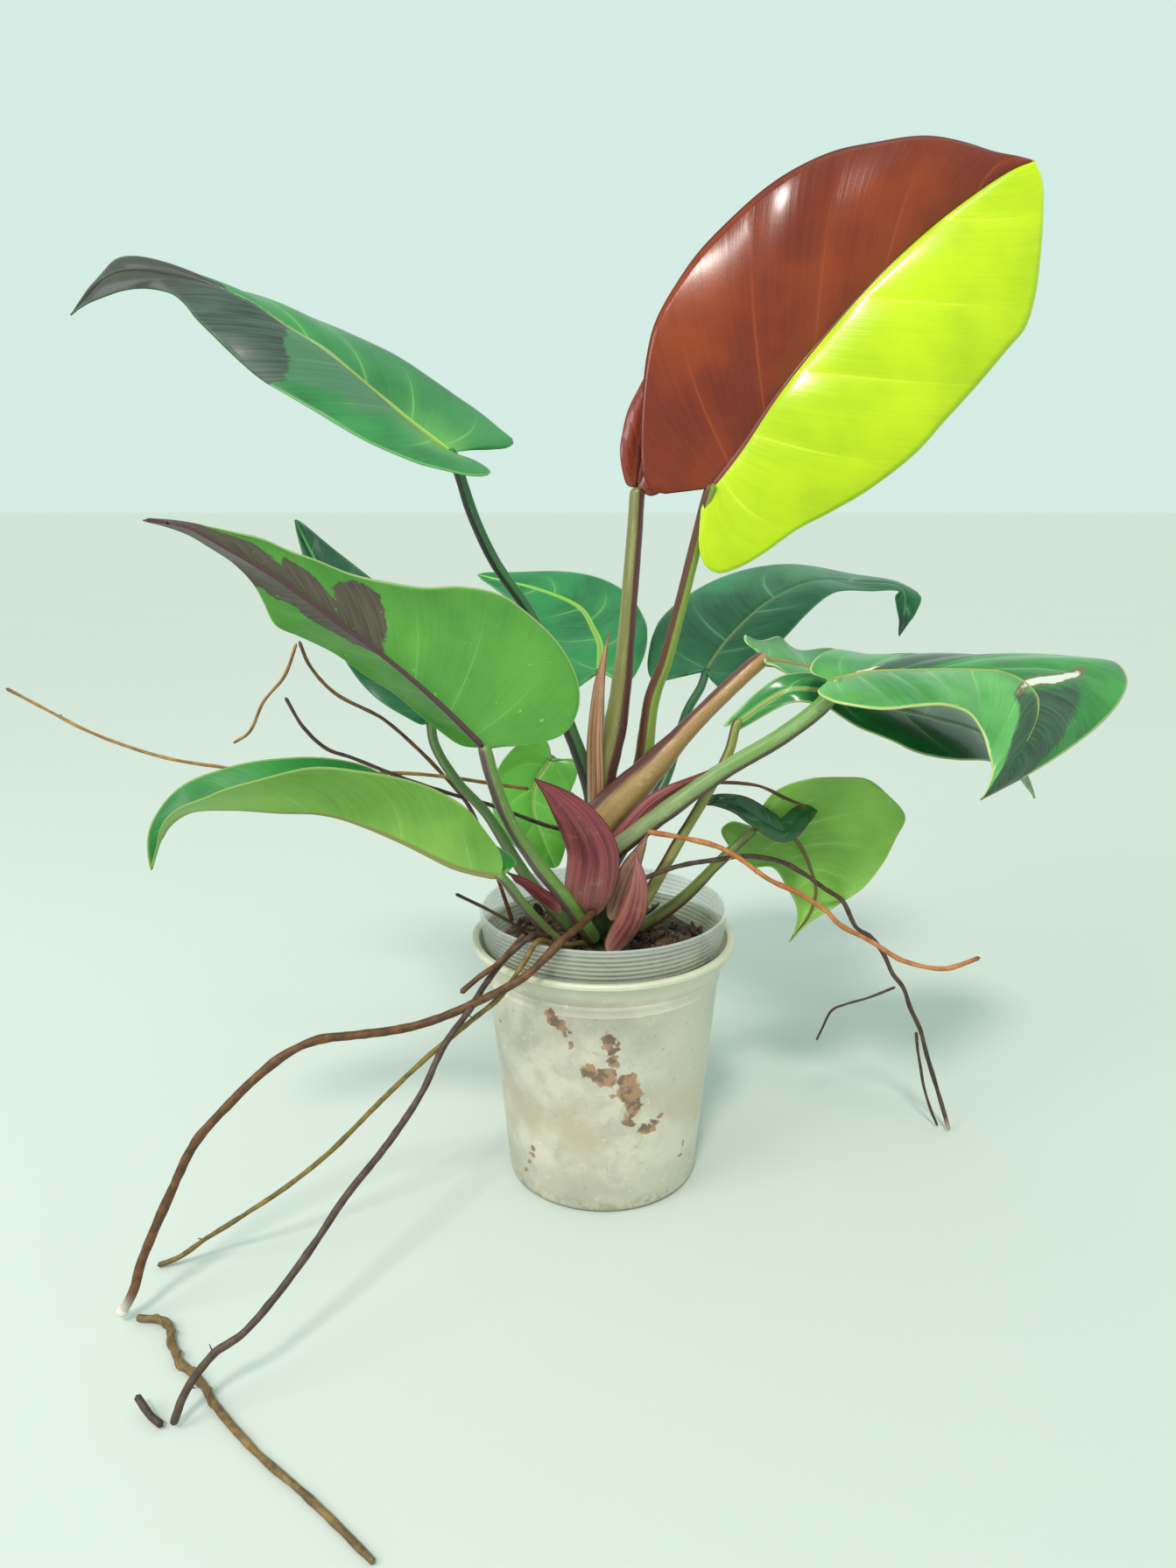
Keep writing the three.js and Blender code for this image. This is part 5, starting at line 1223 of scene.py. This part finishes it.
def paint_moss():
    """Dark bark with paler grains, and green moss in places."""
    paint = Paint("Moss and bark")
    patch = paint.noise(60.0, 5.0, roughness=0.7)
    grain = paint.noise(420.0, 4.0, roughness=0.7)
    base = paint.mix(paint.rise(patch, 0.4, 0.6), "#2c2018", "#5c4834")
    base = paint.mix(paint.rise(grain, 0.5, 0.66), base, "#7c6448")
    base = paint.mix(paint.times(paint.rise(paint.noise(45.0, 3.0), 0.58, 0.68), 0.6), base, "#5c6434")
    paint.colour(base)
    paint.roughness(paint.plus(paint.times(grain, 0.2), 0.75))
    paint.bump(paint.plus(patch, grain), 0.9, 1.2)
    return paint


# ---- Settings ----

class PotSettings(bpy.types.PropertyGroup):
    colour: FloatVectorProperty(name="Frosted colour", description="Colour of the outer pot",
                                subtype="COLOR", size=3, min=0, max=1, default=(0.56, 0.52, 0.41))
    frost: FloatProperty(name="Frost", description="How much the frosted pot hides", subtype="FACTOR",
                         min=0.1, max=1, default=0.88)
    clarity: FloatProperty(name="Clear pot cover", description="How much the clear pot hides",
                           subtype="FACTOR", min=0.1, max=1, default=0.3)
    ridges: IntProperty(name="Ridges", description="Fine ridges round the clear pot's rim", min=2, max=12,
                        default=7)


class PlantSettings(bpy.types.PropertyGroup):
    thickness: FloatProperty(name="Leaf thickness", description="Thickness of a blade", unit="LENGTH",
                             subtype="DISTANCE", min=0.0002, max=0.002, default=0.0006)
    columns: IntProperty(name="Blade columns", description="Grid cells across a blade", min=12, max=96,
                         default=56)
    rows: IntProperty(name="Blade rows", description="Grid cells along a blade", min=24, max=200,
                      default=120)


class MossSettings(bpy.types.PropertyGroup):
    chips: IntProperty(name="Chips", description="Bark and moss chips on the surface", min=0, max=400,
                       default=190)
    lumps: FloatProperty(name="Lumps", description="Height of the moss's lumps", unit="LENGTH",
                         subtype="DISTANCE", min=0, max=0.006, default=0.0030)


class StageSettings(bpy.types.PropertyGroup):
    sun: FloatProperty(name="Main light", description="Strength of the soft main light", min=0, max=10,
                       default=1.5)
    window: FloatProperty(name="Window light", description="Power of the large side light", unit="POWER",
                          min=0, max=200, default=4)
    daylight: FloatProperty(name="Daylight", description="Strength of the light from all round", min=0,
                            max=4, default=1.0)
    backdrop: FloatVectorProperty(name="Backdrop", description="Colour all round", subtype="COLOR", size=3,
                                  min=0, max=1, default=(0.67, 0.84, 0.78))
    ground: FloatVectorProperty(name="Ground", description="Colour of the floor", subtype="COLOR", size=3,
                                min=0, max=1, default=(0.605, 0.64, 0.60))


# ---- Operators ----

class PHILO_OT_pots(bpy.types.Operator):
    """Builds the frosted outer pot and the clear ridged pot inside it"""
    bl_idname = "philo.pots"
    bl_label = "Build pots"

    def execute(self, context):
        settings = context.scene.philo_pots
        outer = lathe("outer_pot_shell", OUTER_PROFILE)
        drill(outer, *OUTER_BASE)
        finish_piece(outer, "frosted_plastic", paint_frosted(settings), "outer_pot")
        inner = lathe("inner_pot_shell", ridged_wall(settings.ridges))
        drill(inner, *INNER_BASE)
        finish_piece(inner, "clear_plastic", paint_clear(settings), "inner_pot")
        return {"FINISHED"}


class PHILO_OT_moss(bpy.types.Operator):
    """Builds the moss and bark that fill the clear pot"""
    bl_idname = "philo.moss"
    bl_label = "Build moss"

    def execute(self, context):
        settings = context.scene.philo_moss
        rng = np.random.default_rng(MOSS_SEED)
        bed = lathe("moss_bed", MOSS_PROFILE, 64)
        apply(bed, "SUBSURF", subdivision_type="SIMPLE", levels=2)
        clouds = bpy.data.textures.new("moss clouds", "CLOUDS")
        clouds.noise_scale = 0.009
        apply(bed, "DISPLACE", texture=clouds, texture_coords="LOCAL", strength=settings.lumps,
              mid_level=0.85)
        pieces = [bed]
        for _ in range(settings.chips):
            angle = rng.uniform(0, 2 * math.pi)
            reach = MOSS_REACH * math.sqrt(rng.uniform(0.02, 1))
            size = rng.uniform(*CHIP_SIZES) * MM
            bpy.ops.object.select_all(action="DESELECT")
            bpy.ops.mesh.primitive_ico_sphere_add(
                subdivisions=2, radius=1.0,
                location=on_ring(reach, angle, rng.uniform(*MOSS_LEVEL)),
                rotation=tuple(rng.uniform(0, math.pi, 3)),
                scale=tuple(size * rng.uniform(*span) for span in ((1.0, 2.6), (0.5, 1.1), (0.3, 0.7))))
            pieces.append(bpy.context.object)
        bed = merge("moss_bed", pieces)
        settle(bed, "moss_bed")
        bpy.ops.object.shade_smooth()
        finish_piece(bed, "moss", paint_moss(), "growing_moss")
        return {"FINISHED"}


class PHILO_OT_leaves(bpy.types.Operator):
    """Builds the blades of all the leaves, each along its own midrib"""
    bl_idname = "philo.leaves"
    bl_label = "Build leaves"

    def execute(self, context):
        settings = context.scene.philo_plant
        for leaf in LEAVES:
            name = leaf["name"]
            leaf["look"] = LOOKS[name]
            blade = build_blade(name + "_blade", leaf, settings.columns, settings.rows,
                                settings.thickness)
            blade = merge(name + "_blade", [blade, rib_ridge(leaf, settings.thickness)])
            finish_piece(blade, leaf["look"]["slot"], paint_blade(name, leaf["look"]), name + "_leaf")
            if "roll" in leaf:
                roll = dict(leaf["roll"], name=name + "_roll", look=LOOKS["roll"])
                strip = build_blade(name + "_roll", roll, 24, 80, settings.thickness)
                finish_piece(strip, roll["look"]["slot"], paint_blade(name + " roll", roll["look"]))
        return {"FINISHED"}


class PHILO_OT_stalks(bpy.types.Operator):
    """Builds the main stem and the petioles"""
    bl_idname = "philo.stalks"
    bl_label = "Build stalks"

    def execute(self, context):
        stem = build_tube("stem", STEM["points"], STEM["radii"], 32, 0.8, lumpy=0.08, seed=3.0)[0]
        finish_piece(stem, "stem", paint_petiole("Stem", STEM_LOOK), "main_stem")
        for leaf in LEAVES:
            name, look = leaf["name"], STALKS[leaf["name"]]
            end = Route(leaf["rib"]).at(np.array([0.012]))[0]
            points = look["inner"] + leaf["petiole"] + [list(end)]
            wide, thin = leaf["widths"][0] / 2, leaf["widths"][1] / 2
            radii = [wide, wide * 0.97, (wide + thin) / 2, thin, thin * 0.98, thin * 0.9]
            stalk = build_tube(name + "_stalk", points, radii, 20, 1.0, look["facing"], 0.25, 0.05)[0]
            finish_piece(stalk, "petiole", paint_petiole(name + " stalk", look), name + "_petiole")
        return {"FINISHED"}


class PHILO_OT_sheaths(bpy.types.Operator):
    """Builds the papery sheaths round the stem"""
    bl_idname = "philo.sheaths"
    bl_label = "Build sheaths"

    def execute(self, context):
        for sheath in SHEATHS:
            name, look = sheath["name"], SHEATH_LOOKS[sheath["name"]]
            left, right = (dict(sheath[side], half=sheath[side]["half"] * look["wide"])
                           for side in ("left", "right"))
            form = {"swell": 0.15, "groove": 0.0, "veins": 4,
                    "ruffles": [(0.5, 3.5, 0.1, 1), (0.5, 2.6, 0.4, -1)]}
            shape = dict(sheath, rib=look["inner"] + sheath["rib"], left=left, right=right, look=form)
            shell = build_blade(name + "_shell", shape, 36, 70, SHEATH_THICKNESS)
            finish_piece(shell, "sheath", paint_sheath(name, look), name)
        return {"FINISHED"}


class PHILO_OT_roots(bpy.types.Operator):
    """Builds the aerial roots, with their hairs and side roots"""
    bl_idname = "philo.roots"
    bl_label = "Build roots"

    def execute(self, context):
        for number, root in enumerate(ROOTS):
            name = root["name"]
            route = ROOT_LOOKS[name]["inner"] + root["route"]
            body, length = build_tube(name + "_body", route, root["radii"], 12, 0.9, lumpy=0.22,
                                      seed=float(number))
            parts = [body]
            if name == "thick_left_root":
                parts.append(self.knob(name, root["route"]))
            if name == "floor_root":
                parts.append(self.strand(name, root["route"]))
            parts += self.hairs(name, root, number)
            body = merge(name + "_body", parts)
            look = dict(ROOT_LOOKS[name], length=length)
            finish_piece(body, "root", paint_root(name, look), name)
        return {"FINISHED"}

    def knob(self, name, route):
        """The swollen pale end of the thick root."""
        start = [a * 0.6 + b * 0.4 for a, b in zip(route[-1], route[-2])]
        piece = build_tube(name + "_knob", [start, route[-1]], [1.7, 2.2, 1.6], 14, 0.5, lumpy=0.3,
                           seed=5.0)[0]
        self.at_share(piece, 1.0)
        return piece

    def strand(self, name, route):
        """A second strand that winds round the first part of the root on the floor."""
        rib = Route(route)
        shares = np.linspace(0.02, 0.42, 60)
        normals, headings = transported(rib, shares, TURN_START)
        turn = shares * 78.0
        sides = np.cross(headings, normals)
        winding = normals * np.cos(turn)[:, None] + sides * np.sin(turn)[:, None]
        points = rib.at(shares) + winding * 1.25
        points[:, 2] = np.maximum(points[:, 2], 0.9)
        piece = build_tube(name + "_strand", points, [0.5, 0.85, 0.8, 0.4], 8, 0.9, lumpy=0.2,
                           seed=8.0)[0]
        self.at_share(piece, 0.3)
        return piece

    def hairs(self, name, root, number):
        """Short side roots that stand off the main one."""
        rng = np.random.default_rng(HAIR_SEED + number)
        rib = Route(root["route"])
        made = []
        for k in range(int(rib.length / 60)):
            share = rng.uniform(0.12, 0.95)
            start = rib.at(np.array([share]))[0]
            if start[2] < 9:
                continue
            away = unit(rng.normal(size=3))
            long = rng.uniform(1.5, 3.5)
            end = start + away * long
            middle = (start + end) / 2 + unit(rng.normal(size=3)) * 0.5
            hair = build_tube(f"{name}_hair_{k}", [start, middle, end], [0.32, 0.26, 0.16], 5, 1.0)[0]
            self.at_share(hair, share)
            made.append(hair)
        return made

    def at_share(self, piece, share):
        """Gives a whole side piece the finish of one place on its root."""
        numbers = noted(piece, "tube")
        numbers[:, 1] = share
        renote(piece, "tube", numbers)


class PHILO_OT_stage(bpy.types.Operator):
    """Builds the plain floor, the soft lights and the camera"""
    bl_idname = "philo.stage"
    bl_label = "Build stage"

    def execute(self, context):
        settings = context.scene.philo_stage
        bpy.ops.object.select_all(action="DESELECT")
        bpy.ops.mesh.primitive_plane_add(size=FLOOR_SIZE)
        floor = settle(bpy.context.object, "floor")
        paint = Paint("Floor", Roughness=0.85, Specular_IOR_Level=0.1)
        ground = tuple(settings.ground) + (1.0,)
        paler = tuple(min(1.0, c * 1.02) for c in settings.ground) + (1.0,)
        paint.colour(paint.mix(paint.noise(3.0, 2.0), ground, paler))
        floor.data.materials.append(paint.material)
        sun = self.light("SUN", "main", SUN_PLACE, settings.sun)
        sun.angle = math.radians(SUN_ANGLE)
        sun.color = SUN_TINT
        self.light("AREA", "window", WINDOW_PLACE, settings.window).size = WINDOW_SIZE
        world = context.scene.world or bpy.data.worlds.new("World")
        context.scene.world = world
        world.use_nodes = True
        back = world.node_tree.nodes["Background"]
        back.inputs["Color"].default_value = tuple(settings.backdrop) + (1.0,)
        back.inputs["Strength"].default_value = settings.daylight
        context.scene.view_settings.view_transform = "Standard"
        bpy.ops.object.camera_add(location=CAMERA_PLACE, rotation=(math.radians(CAMERA_TILT), 0, 0))
        camera = bpy.context.object
        camera.data.lens = CAMERA_LENS
        camera.data.clip_start = 0.01
        context.scene.camera = camera
        return {"FINISHED"}

    def light(self, kind, name, place, strength):
        """A white light that looks at the middle of the plant."""
        bpy.ops.object.select_all(action="DESELECT")
        heading = Vector(AIM) - Vector(place)
        bpy.ops.object.light_add(type=kind, location=place,
                                 rotation=heading.to_track_quat("-Z", "Y").to_euler())
        lamp = bpy.context.object
        lamp.name = name
        lamp.data.energy = strength
        return lamp.data


OPERATORS = (PHILO_OT_pots, PHILO_OT_moss, PHILO_OT_leaves, PHILO_OT_stalks, PHILO_OT_sheaths, PHILO_OT_roots,
             PHILO_OT_stage)
GROUPS = {"philo_pots": PotSettings, "philo_plant": PlantSettings, "philo_moss": MossSettings,
          "philo_stage": StageSettings}


class PHILO_PT_panel(bpy.types.Panel):
    """Sizes, colours and the build steps"""
    bl_label = "Philodendron"
    bl_space_type = "VIEW_3D"
    bl_region_type = "UI"
    bl_category = "Philodendron"

    def draw(self, context):
        for group, kind in GROUPS.items():
            box = self.layout.box()
            for key in kind.__annotations__:
                box.prop(getattr(context.scene, group), key)
        for operator in OPERATORS:
            self.layout.operator(operator.bl_idname)


def register():
    for kind in (*GROUPS.values(), *OPERATORS, PHILO_PT_panel):
        bpy.utils.register_class(kind)
    for name, kind in GROUPS.items():
        setattr(bpy.types.Scene, name, PointerProperty(type=kind))


def unregister():
    for name in GROUPS:
        delattr(bpy.types.Scene, name)
    for kind in (PHILO_PT_panel, *reversed(OPERATORS), *GROUPS.values()):
        bpy.utils.unregister_class(kind)


def main():
    register()
    for step in (bpy.ops.philo.pots, bpy.ops.philo.moss, bpy.ops.philo.leaves, bpy.ops.philo.stalks,
                 bpy.ops.philo.sheaths, bpy.ops.philo.roots, bpy.ops.philo.stage):
        if step() != {"FINISHED"}:
            raise RuntimeError(f"{step.idname_py()} didn't finish")


if __name__ == "__main__":
    main()
